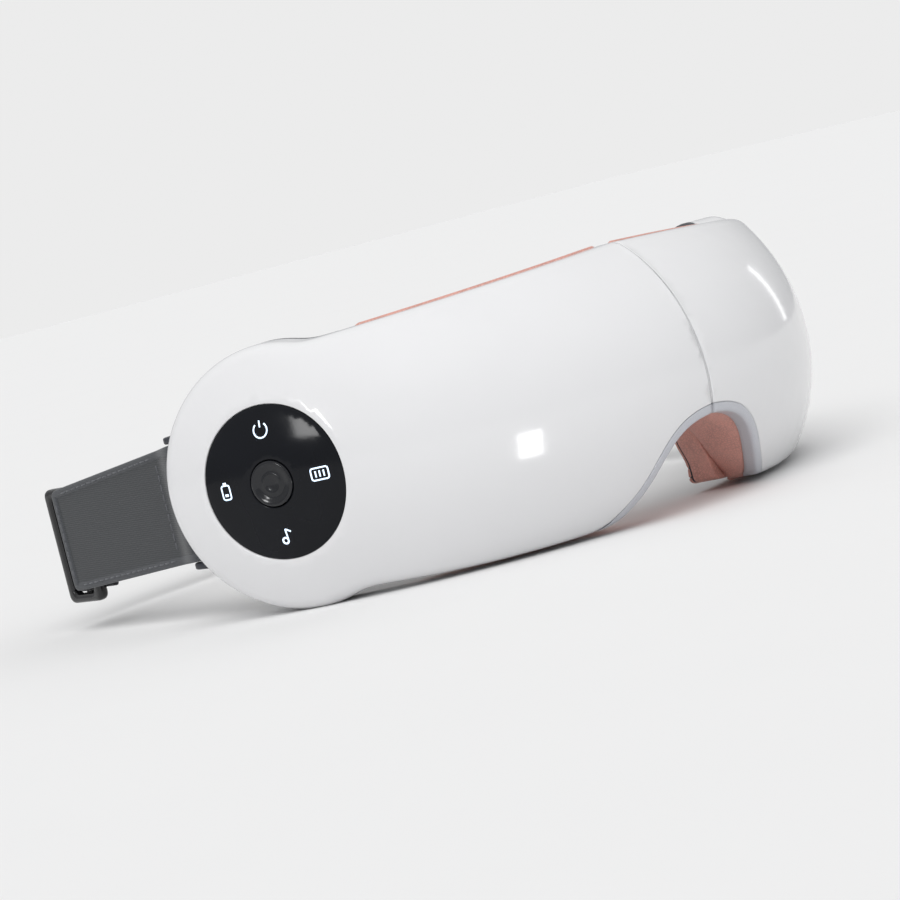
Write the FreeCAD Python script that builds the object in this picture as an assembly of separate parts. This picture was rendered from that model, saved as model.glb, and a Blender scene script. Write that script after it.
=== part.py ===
"""Folding eye massager mask: two hinged halves, face pads, massage cushions and a head strap.

Millimetres, +Z up, the front of the mask towards -Y, the control side at -X.
While it is modelled, the bridge's foremost point is at x = y = 0 and z = 0 is the mask's mid height.
At the end the whole mask is moved so that the origin is the middle of the bottom of its box.
The +X half is modelled, and the -X half is its mirror image with the controls added.
"""
import FreeCAD, Part
import math
import os

V = FreeCAD.Vector
X, Y, Z = V(1, 0, 0), V(0, 1, 0), V(0, 0, 1)

# ---- driving dimensions ----
HALF_WIDTH = 102.0          # plan ellipse of the front, half its width
PLAN_DEPTH = 107.0          # plan ellipse of the front, from the bridge to its widest point
TEMPLE_ANGLE = 66.2         # ellipse angle of the round temple lobe's centre
LOBE_R = 34.0               # temple lobe radius
BRIDGE_CROWN_R = 42.2       # vertical crown of the front at the bridge
TEMPLE_CROWN_R = 75.9       # vertical crown of the front at the temple
EDGE_ROUND = 5.0            # rounding between the front and the top and bottom walls
WALL = 2.2                  # shell wall
BRIDGE_RIM = 26.0           # depth of the shell's rear rim behind the crest at the bridge
TEMPLE_RIM = 17.0           # the same at the temple
STAND_LEVEL = -33.6         # flats under the lobes that the mask stands on
SEAM_GAP = 0.3              # gap between the two front shells
SLIP = 0.05                 # gap between pieces that fit in one another
RUN = 0.3                   # gap between bodies that move past each other
FLAT_GAP = 0.2              # gap between a flat end and a curved plate
FAR = 300.0                 # reaches past the mask from anywhere in it, for cutting boxes
STATION_STEP = 4.0          # degrees between the sections that the front is lofted through

HINGE_Y = 24.0              # the fold's axis, behind the bridge
FOLD = 82.0                 # how far the right half folds in
PIN_R = 1.5                 # hinge pin and strap bars
KNUCKLE_R = 3.8
HINGE_LOW, HINGE_HIGH = -5.5, 28.5
KNUCKLES = 5
WING_START, WING_END, WING_THICK = 4.8, 13.0, 1.4   # plate of each hinge leaf
WING_AHEAD = 2.9            # how far the plates lie in front of the fold's axis
PIN_HEAD = 1.2

FRAME_PLATE = 2.4           # rear frame thickness
COVER_START = 53.0          # ellipse angle where the rear frame ends and the temple cover starts
COVER_PLATE = 2.6           # temple cover thickness
EAR_R, EAR_THICK = 2.8, 1.8         # the cover's two ears, which hold the strap bar

NOSE_SIDE = 16.5            # the face pads' nose side walls
NOSE_TOP = -10.7            # top of the nose notch
NOSE_SHOULDER = (21.0, -26.5)
NOSE_FOOT = (33.0, -36.0)
TRIM = 2.4                  # thickness of the trim and the liner of the nose notch
TRIM_DEPTH = 3.6            # how far the grey trim reaches back from the front; the soft liner follows

PAD_NOSE, PAD_TEMPLE = 11.0, 7.5    # face pad thickness near the nose and near the temple
PAD_END = 52.0              # ellipse angle where the face pad ends
EYE_ANGLE = 31.5            # ellipse angle of the eye's centre
EYE_Z = 2.0
EYE_HALF_LENGTH, EYE_HALF_HEIGHT = 19.5, 16.0
CELL_THICK, FILM_THICK = 1.75, 0.3
CUSHION = 3.6               # massage cushion thickness
NODE_COUNT = 5
NODE_RING = (11.0, 8.0)     # half axes of the ring of massage nodes
NODE_R = 4.6
NODE_RISE = 0.4             # how far a node stands out of the cushion

PANEL_R = 19.6              # control panel disc
PANEL_INSET = 0.15
ICON_R = 13.5               # ring that the four icons lie on
ICON_DEPTH = 2.0
# bearing on that ring, length along the front and height of each icon's window
ICONS = ((0, 3.4, 4.0), (90, 4.6, 4.6), (180, 5.4, 3.2), (270, 3.4, 4.4))
BUTTON_R = 5.8
BUTTON_GAP = 0.15
BUTTON_DEPTH = 3.4          # from the crest to the back of the button's cap
DIMPLE_R, DIMPLE_DEPTH = 14.0, 1.0
STEM_R, STEM_LENGTH = 1.5, 2.3
BOARD_R, BOARD_THICK = 20.0, 1.2
BOARD_DEPTH = 8.0
# place along the front and up from the lobe's centre, length and height of each chip on the board
CHIPS = ((8, 6, 7, 7), (-7, -7, 5, 5), (-9, 8, 4, 6))
CHIP_THICK = 0.8
SWITCH_SIZE, SWITCH_THICK = 5.0, 1.4
BATTERY_DEPTH, BATTERY_LENGTH, BATTERY_HEIGHT, BATTERY_THICK = 13.0, 32.0, 40.0, 4.8
PORT_DEPTH, PORT_LENGTH = 13.0, 7.0
PORT_WIDE, PORT_TALL = 9.0, 3.3     # charging socket, outside
MOUTH_WIDE, MOUTH_TALL = 8.4, 2.6   # its mouth
TONGUE_WIDE, TONGUE_THICK = 6.4, 0.7

PUMP_DEPTH, PUMP_Z = 9.6, 2.0
PUMP_LENGTH, PUMP_THICK, PUMP_HEIGHT = 10.0, 12.0, 15.0
PUMP_MOTOR_R, PUMP_MOTOR_LENGTH = 6.0, 15.0
PUMP_START = -1.0           # where the pump head starts, along the front from the lobe's centre
VALVE_AHEAD, VALVE_Z, VALVE_DEPTH = -4.0, -14.0, 9.4
VALVE_LENGTH, VALVE_THICK, VALVE_HEIGHT = 14.0, 8.0, 9.0
NOZZLE_R, NOZZLE_LENGTH = 1.5, 4.0
HOSE_R = 1.6
HOSE_DEPTH = 11.5
HOSE_STOPS = ((10.0, 22.0), (24.0, 20.0), (38.0, 20.0), (50.0, 17.0))   # ellipse angle, height
MOTOR_R, MOTOR_LENGTH, MOTOR_Z = 3.5, 14.0, 8.0
SHAFT_R, SHAFT_INSIDE = 0.5, 4.0
WEIGHT_R, WEIGHT_LENGTH, WEIGHT_HUB_R = 3.2, 4.5, 1.2
SPEAKER_ANGLE, SPEAKER_Z = 45.0, -12.0
SPEAKER_R, SPEAKER_THICK = 8.0, 4.6
MAGNET_THICK = 2.6
SOUND_HOLE_R = 0.7
SOUND_RINGS = ((0.0, 1), (3.2, 6))  # radius of a ring of sound holes, and how many are on it

FRAME_BOSSES = ((12.0, 27.5), (33.0, -28.0), (33.0, 29.0), (50.0, 26.0), (50.0, -26.0))  # angle, height
LOBE_BOSSES = ((0.0, 27.6), (13.0, -24.4), (27.6, 0.0))     # along the front from its centre, height
BOSS_R = 2.5
SCREW_R, SCREW_LENGTH = 0.9, 5.5
SCREW_HEAD_R, SCREW_HEAD = 1.7, 1.1

STRAP_X, STRAP_Y = 86.0, 108.3      # strap bar at the back of each lobe
TAB_HIGH, TAB_LOW = 13.2, -17.8     # strap tab's edges at the bar
CORNER_X, CORNER_Y = 86.0, 168.0    # the tab's end
CORNER_HIGH, CORNER_LOW = 6.0, -22.2
TAB_THICK = 2.2
LOOP_GAP, LOOP_WALL = 0.1, 1.8      # of the tab's loop around the bar
BAND_HEIGHT, BAND_THICK = 26.0, 1.8
BAND_CORNER_R = 7.0
BUCKLE_HEIGHT, BUCKLE_LENGTH, BUCKLE_THICK = 32.0, 15.0, 3.2
BUCKLE_BAR = 3.0
BUCKLE_END = 175.0          # how far back the buckle reaches
BUCKLE_DROP = 1.6           # how far the buckle and the band lie below the middle of the tab's end

os.makedirs("parts", exist_ok=True)


# ---- the front's shape ----
def crest(angle):
    """Point of the plan ellipse, the foremost line of the front at mid height."""
    t = math.radians(angle)
    return V(HALF_WIDTH * math.sin(t), PLAN_DEPTH * (1 - math.cos(t)), 0)


def along(angle):
    """Horizontal direction along the front, from the bridge to the temple."""
    t = math.radians(angle)
    return V(HALF_WIDTH * math.cos(t), PLAN_DEPTH * math.sin(t), 0).normalize()


def inward(angle):
    """Horizontal direction square to the front, towards the face."""
    return Z.cross(along(angle))


def share(angle):
    """How far an ellipse angle is on its way from the bridge, 0, to the temple, 1."""
    return min(angle / TEMPLE_ANGLE, 1.0)


def crown_radius(angle):
    blend = share(angle) ** 2
    return 1 / ((1 - blend) / BRIDGE_CROWN_R + blend / TEMPLE_CROWN_R)


def past_lobe_centre(angle):
    """Distance along the front from the lobe's centre."""
    return (crest(angle) - crest(TEMPLE_ANGLE)).dot(along(TEMPLE_ANGLE))


def lobe_edge(angle):
    """Half height of the round lobe up to its centre; past it, a height that clears the circle."""
    distance = past_lobe_centre(angle)
    if distance >= 0:
        return LOBE_R + 0.2 * distance
    return math.sqrt(max(LOBE_R ** 2 - distance ** 2, 0))


def top_edge(angle):
    return max(36.5 - 5.3 * share(angle) ** 1.2, lobe_edge(angle))


def bottom_edge(angle):
    u = share(angle)
    return -max(30.0 + 10.0 * u * (1 - u), lobe_edge(angle))


def rim_depth(angle):
    """Depth of the shell's rear rim behind the crest."""
    return BRIDGE_RIM + (TEMPLE_RIM - BRIDGE_RIM) * share(angle)


def at(angle, depth, z):
    """Point at a depth behind the crest and a height."""
    return crest(angle) + inward(angle) * depth + Z * z


# ---- solids that follow the front ----
def stations(start, end):
    """Ellipse angles of the sections between two angles, with one at the lobe's centre."""
    regular = [TEMPLE_ANGLE + STATION_STEP * step for step in range(-17, 7)]
    return [start] + [a for a in regular if start + 1.0 < a < end - 1.0] + [end]


def crowned_section(angle, inset, rear):
    """Closed outline across the mask: crowned front, rounded corners, flat top, rear and bottom."""
    crown_r = crown_radius(angle)
    front_r = crown_r - inset
    corner_r = max(EDGE_ROUND - inset, 0.6)
    corners = []
    for edge, sign in ((top_edge(angle) - inset, 1), (-bottom_edge(angle) - inset, -1)):
        rise = edge - corner_r
        centre_depth = crown_r - math.sqrt((front_r - corner_r) ** 2 - rise ** 2)
        reach = V(centre_depth - crown_r, rise, 0).normalize()
        on_arc = (crown_r + reach.x * front_r, sign * reach.y * front_r)
        half = (reach + Y).normalize()
        middle = (centre_depth + half.x * corner_r, sign * (rise + half.y * corner_r))
        on_wall = (centre_depth, sign * edge)
        corners.append((on_arc, middle, on_wall, (rear, sign * edge)))
    (top_arc, top_mid, top_wall, top_rear), (low_arc, low_mid, low_wall, low_rear) = corners

    def p(depth_and_z):
        return at(angle, *depth_and_z)

    outline = [Part.Arc(p(low_arc), p((crown_r - front_r, 0)), p(top_arc)),
               Part.Arc(p(top_arc), p(top_mid), p(top_wall)),
               Part.LineSegment(p(top_wall), p(top_rear)),
               Part.LineSegment(p(top_rear), p(low_rear)),
               Part.LineSegment(p(low_rear), p(low_wall)),
               Part.Arc(p(low_wall), p(low_mid), p(low_arc))]
    return Part.Wire([curve.toShape() for curve in outline])


def crowned_solid(inset, rear, start=0.0, end=90.0):
    """Solid under the crowned front, from its inset surface back to the depth rear(angle)."""
    wires = [crowned_section(a, inset, rear(a)) for a in stations(start, end)]
    return Part.makeLoft(wires, True, True)


def plate(front, rear, inset, start=0.0, end=90.0):
    """Plate that follows the plan ellipse between two depths, inset from the top and bottom edges."""
    wires = []
    for a in stations(start, end):
        low, high = bottom_edge(a) + inset, top_edge(a) - inset
        corners = [(front(a), low), (front(a), high), (rear(a), high), (rear(a), low)]
        points = [at(a, depth, z) for depth, z in corners]
        wires.append(Part.makePolygon(points + points[:1]))
    return Part.makeLoft(wires, True, True)


def cylinder_at(angle, depth, z, radius, length, direction=None):
    """Cylinder that starts at a depth and runs towards the face, or along another direction."""
    return Part.makeCylinder(radius, length, at(angle, depth, z), direction or inward(angle))


def ellipse_prism(angle, z, half_length, half_height, depth, length):
    """Prism square to the front with an elliptic outline."""
    centre = at(angle, depth, z)
    ellipse = Part.Ellipse(centre + along(angle) * half_length, centre + Z * half_height, centre)
    face = Part.Face(Part.Wire([ellipse.toShape()]))
    return face.extrude(inward(angle) * length)


def box_at(angle, depth, z, length, thickness, height):
    """Box centred on a point, its length along the front and its thickness towards the face."""
    box = Part.makeBox(length, thickness, height, V(-length / 2, -thickness / 2, -height / 2))
    direction = along(angle)
    turn = math.degrees(math.atan2(direction.y, direction.x))
    box.Placement = FreeCAD.Placement(at(angle, depth, z), FreeCAD.Rotation(Z, turn))
    return box


def inside_lobe(shape, inset):
    """Keep what lies in front of the lobe's centre or within the lobe's circle."""
    reach = 220.0
    turn = math.degrees(math.atan2(along(TEMPLE_ANGLE).y, along(TEMPLE_ANGLE).x))
    ahead = Part.makeBox(reach, 2 * reach, reach, V(-reach, -reach, -reach / 2))
    ahead.Placement = FreeCAD.Placement(crest(TEMPLE_ANGLE), FreeCAD.Rotation(Z, turn))
    start = crest(TEMPLE_ANGLE) - inward(TEMPLE_ANGLE) * 20
    lobe = Part.makeCylinder(LOBE_R - inset, 90, start, inward(TEMPLE_ANGLE))
    return shape.common(ahead.fuse(lobe))


# ---- shared cutters ----
def nose_prism(grow):
    """Nose notch, cut straight through from front to back and grown by an amount."""
    shoulder_x, shoulder_z = NOSE_SHOULDER
    foot_x, foot_z = NOSE_FOOT
    right = [V(0, 0, NOSE_TOP + grow), V(0.55 * shoulder_x, 0, NOSE_TOP - 3.2 + grow),
             V(shoulder_x + grow, 0, shoulder_z), V(foot_x + grow, 0, foot_z + grow)]
    left = [V(-q.x, 0, q.z) for q in right[:0:-1]]
    curve = Part.BSplineCurve()
    curve.interpolate(left + right)
    low = -60.0
    floor = [V(foot_x + grow, 0, foot_z + grow), V(foot_x + grow, 0, low), V(-foot_x - grow, 0, low),
             V(-foot_x - grow, 0, foot_z + grow)]
    outline = Part.Wire([curve.toShape(), Part.makePolygon(floor)])
    prism = Part.Face(outline).extrude(Y * 120)
    prism.translate(Y * -20)
    return prism


def fold_room(gap):
    """Wedge behind the fold's axis that each half leaves free, so that the halves can close."""
    reach = 160.0
    half = math.radians(FOLD / 2)
    side = V(math.sin(half), math.cos(half), 0)
    square = V(side.y, -side.x, 0)
    tip = V(0, HINGE_Y, -60)
    outline = Part.makePolygon([tip + square * gap - side * gap, tip + square * gap + side * reach,
                                tip + V(-reach, reach, 0), tip + V(-reach, 0, 0) - side * gap,
                                tip + square * gap - side * gap])
    return Part.Face(outline).extrude(Z * 120)


def hinge_room():
    """Space around the knuckles and the pin's head."""
    height = HINGE_HIGH + PIN_HEAD - HINGE_LOW + 2 * RUN
    return Part.makeCylinder(KNUCKLE_R + RUN, height, V(0, HINGE_Y, HINGE_LOW - RUN))


def beyond(x):
    """Everything on the far side of an upright plane that stands square to X."""
    return Part.makeBox(FAR, 2 * FAR, 2 * FAR, V(x, -FAR, -FAR))


def above(z):
    """Everything above a level."""
    return Part.makeBox(2 * FAR, 2 * FAR, FAR, V(-FAR, -FAR, z))


def lobe_point(ahead, z, depth):
    """Point in the lobe's own frame: along the front from its centre, up, and in from the crest."""
    return at(TEMPLE_ANGLE, depth, z) + along(TEMPLE_ANGLE) * ahead


def lobe_cylinder(ahead, z, depth, radius, length):
    return Part.makeCylinder(radius, length, lobe_point(ahead, z, depth), inward(TEMPLE_ANGLE))


# ---- shells and frames ----
def front_shell():
    outer = inside_lobe(crowned_solid(0, rim_depth), 0)
    cavity = inside_lobe(crowned_solid(WALL, lambda a: rim_depth(a) + 5), WALL)
    cavity = cavity.common(beyond(SEAM_GAP / 2 + WALL))
    cavity = cavity.cut(nose_prism(TRIM + WALL))
    shell = outer.cut(cavity)
    shell = shell.cut(nose_prism(TRIM + SLIP)).common(beyond(SEAM_GAP / 2)).common(above(STAND_LEVEL))
    return shell.cut(hinge_room()).cut(fold_room(RUN))


def nose_band():
    """Band around the nose notch, from the front back to the rim."""
    band = nose_prism(TRIM).cut(nose_prism(0)).common(crowned_solid(0, rim_depth))
    return band.common(beyond(SEAM_GAP / 2)).common(above(STAND_LEVEL)).cut(fold_room(RUN))


def behind_front(depth):
    """Everything that lies a depth or more behind the front, around the nose."""
    return crowned_solid(0, lambda a: BRIDGE_RIM).translated(Y * depth)


def nose_trim():
    """Grey trim that forms the front edge of the notch."""
    return biggest(nose_band().cut(behind_front(TRIM_DEPTH)))


def nose_liner():
    """Soft leatherette liner of the notch's wall, from the trim back to the rim."""
    return biggest(nose_band().common(behind_front(TRIM_DEPTH + SLIP)))


def biggest(shape):
    """The largest solid of a shape that a cut has left in pieces."""
    return max(shape.Solids, key=lambda solid: solid.Volume)


def shell_bosses():
    """Screw bosses inside the shell, from the front wall to the rear frame and the temple cover."""
    bosses = []
    for angle, z in FRAME_BOSSES:
        rear = rim_depth(angle) - FRAME_PLATE - FLAT_GAP
        bosses.append(cylinder_at(angle, 0, z, BOSS_R, rear))
    for ahead, z in LOBE_BOSSES:
        bosses.append(lobe_cylinder(ahead, z, 0, BOSS_R, cover_front(ahead)))
    body = crowned_solid(WALL / 2, lambda a: rim_depth(a) + 5)
    pieces = [inside_lobe(boss.common(body), WALL / 2) for boss in bosses]
    return pieces[0].multiFuse(pieces[1:])


def cover_front(ahead):
    """Depth in the lobe's frame of the temple cover's front face."""
    sag = PLAN_DEPTH - math.sqrt(PLAN_DEPTH ** 2 - ahead ** 2)
    return sag + TEMPLE_RIM - SLIP


def screws():
    """Self-tapping screws that hold the rear frame and the temple cover."""
    group = []
    for angle, z in FRAME_BOSSES:
        head = rim_depth(angle) - SCREW_HEAD - FLAT_GAP
        group.append(cylinder_at(angle, head, z, SCREW_HEAD_R, SCREW_HEAD).fuse(
            cylinder_at(angle, head - SCREW_LENGTH, z, SCREW_R, SCREW_LENGTH + SLIP)))
    for ahead, z in LOBE_BOSSES:
        head = cover_front(ahead) + COVER_PLATE - SCREW_HEAD - FLAT_GAP
        group.append(lobe_cylinder(ahead, z, head, SCREW_HEAD_R, SCREW_HEAD).fuse(
            lobe_cylinder(ahead, z, head - SCREW_LENGTH, SCREW_R, SCREW_LENGTH + SLIP)))
    return Part.makeCompound(group)


def rear_frame():
    """Inner frame that closes the eye half of the shell and carries the face pad."""
    frame = plate(lambda a: rim_depth(a) - FRAME_PLATE, rim_depth, WALL + SLIP, 0, COVER_START - 0.2)
    frame = frame.cut(nose_prism(TRIM + WALL + SLIP)).cut(fold_room(RUN + SLIP)).cut(hinge_room())
    return biggest(frame.common(beyond(SEAM_GAP / 2 + WALL + SLIP)))


def temple_cover():
    """Dark inner cover of the lobe, with the two ears that hold the strap bar."""
    cover = plate(lambda a: rim_depth(a) + SLIP, lambda a: rim_depth(a) + COVER_PLATE, 0, COVER_START)
    cover = inside_lobe(cover, 0).common(above(STAND_LEVEL))
    root = lobe_point(LOBE_R - 9.0, 0, TEMPLE_RIM + 4.0)
    bar = V(STRAP_X, STRAP_Y, 0)
    for z in (TAB_HIGH + RUN, TAB_LOW - RUN - EAR_THICK):
        side = (bar - root).cross(Z).normalize() * EAR_R
        outline = Part.makePolygon([root + side, bar + side, bar - side, root - side, root + side])
        ear = Part.Face(outline).extrude(Z * EAR_THICK).fuse(Part.makeCylinder(EAR_R, EAR_THICK, bar))
        ear.translate(Z * z)
        cover = cover.fuse(ear.cut(front_room()))
    return cover.cut(strap_bar())


def front_room():
    """The space of the shell, which the ears stay behind."""
    return plate(lambda a: -5.0, lambda a: rim_depth(a) + SLIP, -5, COVER_START - 5, 86.0)


def strap_bar():
    """Steel bar that the strap tab loops round, its ends flush with the ears."""
    low = TAB_LOW - RUN - EAR_THICK
    high = TAB_HIGH + RUN + EAR_THICK
    return Part.makeCylinder(PIN_R, high - low, V(STRAP_X, STRAP_Y, low))


# ---- the fold ----
def hinge_leaf(first):
    """Leaf plate behind the bridge wall with every second knuckle, bored for the pin."""
    pitch = (HINGE_HIGH - HINGE_LOW) / KNUCKLES
    bore = Part.makeCylinder(PIN_R + SLIP, 100, V(0, HINGE_Y, -50))
    wing_y = HINGE_Y - WING_AHEAD
    leaf = Part.makeBox(WING_END - WING_START, WING_THICK, HINGE_HIGH - HINGE_LOW - 2.0,
                        V(WING_START, wing_y, HINGE_LOW + 1.0))
    for index in range(first, KNUCKLES, 2):
        low = HINGE_LOW + index * pitch + SLIP
        tall = pitch - 2 * SLIP
        knuckle = Part.makeCylinder(KNUCKLE_R, tall, V(0, HINGE_Y, low))
        arm = Part.makeBox(WING_START + 0.5, WING_THICK, tall, V(0, wing_y, low))
        leaf = leaf.fuse(knuckle).fuse(arm)
    return leaf.cut(bore).removeSplitter()


def hinge_pin():
    shaft = Part.makeCylinder(PIN_R, HINGE_HIGH - HINGE_LOW, V(0, HINGE_Y, HINGE_LOW))
    head = Part.makeCylinder(PIN_R + PIN_HEAD, PIN_HEAD, V(0, HINGE_Y, HINGE_HIGH))
    return shaft.fuse(head)


# ---- face side ----
def pad_rear(angle):
    thick = PAD_NOSE + (PAD_TEMPLE - PAD_NOSE) * angle / PAD_END
    return rim_depth(angle) + thick


def eye_window(shrink, depth, length):
    return ellipse_prism(EYE_ANGLE, EYE_Z, EYE_HALF_LENGTH - shrink, EYE_HALF_HEIGHT - shrink, depth, length)


def eye_rim():
    """Depth of the rear frame's face in the middle of the eye."""
    return rim_depth(EYE_ANGLE)


def face_pad():
    """Padded ring around the eye, upholstered, with the nose side wall."""
    pad = plate(lambda a: rim_depth(a) + SLIP, pad_rear, 0, 0, PAD_END)
    pad = pad.common(beyond(NOSE_SIDE)).common(above(STAND_LEVEL))
    pad = pad.cut(nose_prism(0)).cut(fold_room(RUN + SLIP))
    return biggest(pad.cut(eye_window(0, 10, 60)))


def eye_layer(start, thick, shrink):
    """Layer over the rear frame, a height above it, within the eye window."""
    end = start + thick
    layer = plate(lambda a: rim_depth(a) + start, lambda a: rim_depth(a) + end, 2 * WALL, 2, PAD_END)
    return biggest(layer.common(eye_window(shrink, 5, 60)))


def eye_air_cell():
    """Flat air cell on the rear frame that pushes the massage cushion when it fills."""
    return eye_layer(SLIP, CELL_THICK, 1.5)


def heating_film():
    return eye_layer(2 * SLIP + CELL_THICK, FILM_THICK, 2.5)


def massage_cushion():
    """Soft cushion over the eye with a ring of raised massage nodes."""
    start = 3 * SLIP + CELL_THICK + FILM_THICK
    cushion = eye_layer(start, CUSHION, RUN + 0.5)
    room = eye_layer(start + 1.0, CUSHION + NODE_R, RUN + 0.5)
    depth = eye_rim() + start + CUSHION + NODE_RISE - NODE_R
    nodes = []
    for index in range(NODE_COUNT):
        bearing = math.pi / 2 + 2 * math.pi * index / NODE_COUNT
        spot = at(EYE_ANGLE, depth, EYE_Z + NODE_RING[1] * math.sin(bearing))
        node = Part.makeSphere(NODE_R, spot + along(EYE_ANGLE) * NODE_RING[0] * math.cos(bearing))
        nodes.append(node.common(room))
    return cushion.multiFuse(nodes)


# ---- inside each half ----
def vibration_motor():
    depth = motor_depth()
    start = at(EYE_ANGLE, depth, MOTOR_Z) - along(EYE_ANGLE) * MOTOR_LENGTH / 2
    can = Part.makeCylinder(MOTOR_R, MOTOR_LENGTH, start, along(EYE_ANGLE))
    return can.cut(motor_shaft(SLIP / 2))


def motor_depth():
    """Depth of the motor's axis, its can just clear of the curved rear frame."""
    return eye_rim() - FRAME_PLATE - MOTOR_R - 2 * FLAT_GAP


def motor_shaft(grow):
    depth = motor_depth()
    start = at(EYE_ANGLE, depth, MOTOR_Z) + along(EYE_ANGLE) * (MOTOR_LENGTH / 2 - SHAFT_INSIDE - grow)
    length = SHAFT_INSIDE + RUN + WEIGHT_LENGTH + 2 * grow
    return Part.makeCylinder(SHAFT_R + grow, length, start, along(EYE_ANGLE))


def motor_weight():
    """Half-round eccentric weight and its shaft, hanging with the heavy side down."""
    depth = motor_depth()
    start = at(EYE_ANGLE, depth, MOTOR_Z) + along(EYE_ANGLE) * (MOTOR_LENGTH / 2 + RUN)
    drum = Part.makeCylinder(WEIGHT_R, WEIGHT_LENGTH, start, along(EYE_ANGLE))
    heavy = drum.cut(above(MOTOR_Z))
    hub = Part.makeCylinder(WEIGHT_HUB_R, WEIGHT_LENGTH, start, along(EYE_ANGLE))
    return heavy.fuse(hub).fuse(motor_shaft(0)).removeSplitter()


def speaker():
    depth = rim_depth(SPEAKER_ANGLE) - FRAME_PLATE - SPEAKER_THICK - 0.9
    basket = cylinder_at(SPEAKER_ANGLE, depth, SPEAKER_Z, SPEAKER_R, SPEAKER_THICK)
    magnet_depth = depth - MAGNET_THICK + SLIP
    return basket.fuse(cylinder_at(SPEAKER_ANGLE, magnet_depth, SPEAKER_Z, SPEAKER_R * 0.6, MAGNET_THICK))


def speaker_holes():
    """Sound holes through the rear frame behind the speaker."""
    holes = []
    for ring_r, count in SOUND_RINGS:
        for index in range(count):
            a = 2 * math.pi * index / count
            offset = along(SPEAKER_ANGLE) * math.cos(a) + Z * math.sin(a)
            hole = cylinder_at(SPEAKER_ANGLE, rim_depth(SPEAKER_ANGLE) - 6, SPEAKER_Z, SOUND_HOLE_R, 12)
            holes.append(hole.translated(offset * ring_r))
    return Part.makeCompound(holes)


def air_hose():
    """Silicone air line inside the half, from the bridge past the air cell's inlet to the temple."""
    spots = [at(angle, HOSE_DEPTH, z) for angle, z in HOSE_STOPS]
    runs = [Part.makeCylinder(HOSE_R, (b - a).Length, a, b - a) for a, b in zip(spots, spots[1:])]
    elbows = [Part.makeSphere(HOSE_R, spot) for spot in spots[1:-1]]
    return runs[0].multiFuse(runs[1:] + elbows)


# ---- controls, in the -X half's lobe, modelled on the +X side and mirrored ----
def front_skin(thick):
    """Skin of the front around the lobe, set back a little from the shell's surface."""
    body = crowned_solid(PANEL_INSET, lambda a: 14.0, 40, 88)
    return body.cut(crowned_solid(thick, lambda a: 15.0, 39, 89))


def panel_disc():
    """Black glossy disc that follows the front's crown, with a hole for the button."""
    disc = front_skin(WALL).common(lobe_cylinder(0, 0, -8, PANEL_R - SLIP, 30))
    return biggest(disc.cut(lobe_cylinder(0, 0, -8, BUTTON_R + BUTTON_GAP, 30)))


def icon_boxes():
    """Straight prisms in from the front with the outlines of the icons' windows."""
    boxes = []
    for bearing, length, height in ICONS:
        a = math.radians(bearing)
        boxes.append(lobe_box(ICON_R * math.cos(a), ICON_R * math.sin(a), 0, length, 16, height))
    return boxes


def icon_windows():
    """Four light windows let into the disc."""
    skin = front_skin(ICON_DEPTH)
    return Part.makeCompound([biggest(box.common(skin)) for box in icon_boxes()])


def power_button():
    """Round button with a thumb dimple, a retaining flange and a stem."""
    cap = lobe_cylinder(0, 0, 0, BUTTON_R, BUTTON_DEPTH)
    dimple = Part.makeSphere(DIMPLE_R, lobe_point(0, 0, DIMPLE_DEPTH - DIMPLE_R))
    flange = lobe_cylinder(0, 0, BUTTON_DEPTH - 0.5, BUTTON_R + 1.0, 1.0)
    stem = lobe_cylinder(0, 0, BUTTON_DEPTH, STEM_R, STEM_LENGTH)
    return cap.cut(dimple).fuse(flange).fuse(stem).removeSplitter()


def lobe_box(ahead, z, depth, length, thickness, height):
    """Box centred on a point of the lobe's frame, its length along the front."""
    box = box_at(TEMPLE_ANGLE, depth, z, length, thickness, height)
    return box.translated(along(TEMPLE_ANGLE) * ahead)


def main_board():
    board = lobe_cylinder(0, 0, BOARD_DEPTH, BOARD_R, BOARD_THICK)
    depth = BOARD_DEPTH + BOARD_THICK + CHIP_THICK / 2
    chips = [lobe_box(x, z, depth, length, CHIP_THICK, height) for x, z, length, height in CHIPS]
    return board.multiFuse(chips)


def button_switch():
    """Tact switch under the button, its plunger just clear of the stem at full travel."""
    return lobe_box(0, 0, BOARD_DEPTH - SWITCH_THICK / 2, SWITCH_SIZE, SWITCH_THICK, SWITCH_SIZE)


def battery():
    return lobe_box(0, 0, BATTERY_DEPTH, BATTERY_LENGTH, BATTERY_THICK, BATTERY_HEIGHT)


def stadium_prism(wide, tall, low, length):
    """Upright prism with a flat-sided oval outline, at the charging socket's place in the lobe."""
    out = along(TEMPLE_ANGLE) * ((wide - tall) / 2)
    end = along(TEMPLE_ANGLE) * (wide / 2)
    side = inward(TEMPLE_ANGLE) * (tall / 2)
    c = lobe_point(0, low, PORT_DEPTH)
    edges = [Part.LineSegment(c - out + side, c + out + side),
             Part.Arc(c + out + side, c + end, c + out - side),
             Part.LineSegment(c + out - side, c - out - side),
             Part.Arc(c - out - side, c - end, c - out + side)]
    outline = Part.Wire([edge.toShape() for edge in edges])
    return Part.Face(outline).extrude(Z * length)


def port_envelope(below):
    return stadium_prism(PORT_WIDE, PORT_TALL, STAND_LEVEL - below, PORT_LENGTH + below)


def charge_port():
    """Charging socket in the bottom of the lobe, its mouth in the flat that the mask stands on."""
    mouth = stadium_prism(MOUTH_WIDE, MOUTH_TALL, STAND_LEVEL, PORT_LENGTH - 1.0)
    middle = STAND_LEVEL + PORT_LENGTH / 2
    tongue = lobe_box(0, middle, PORT_DEPTH, TONGUE_WIDE, TONGUE_THICK, PORT_LENGTH - 0.5)
    return port_envelope(0).cut(mouth).fuse(tongue).removeSplitter()


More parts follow.
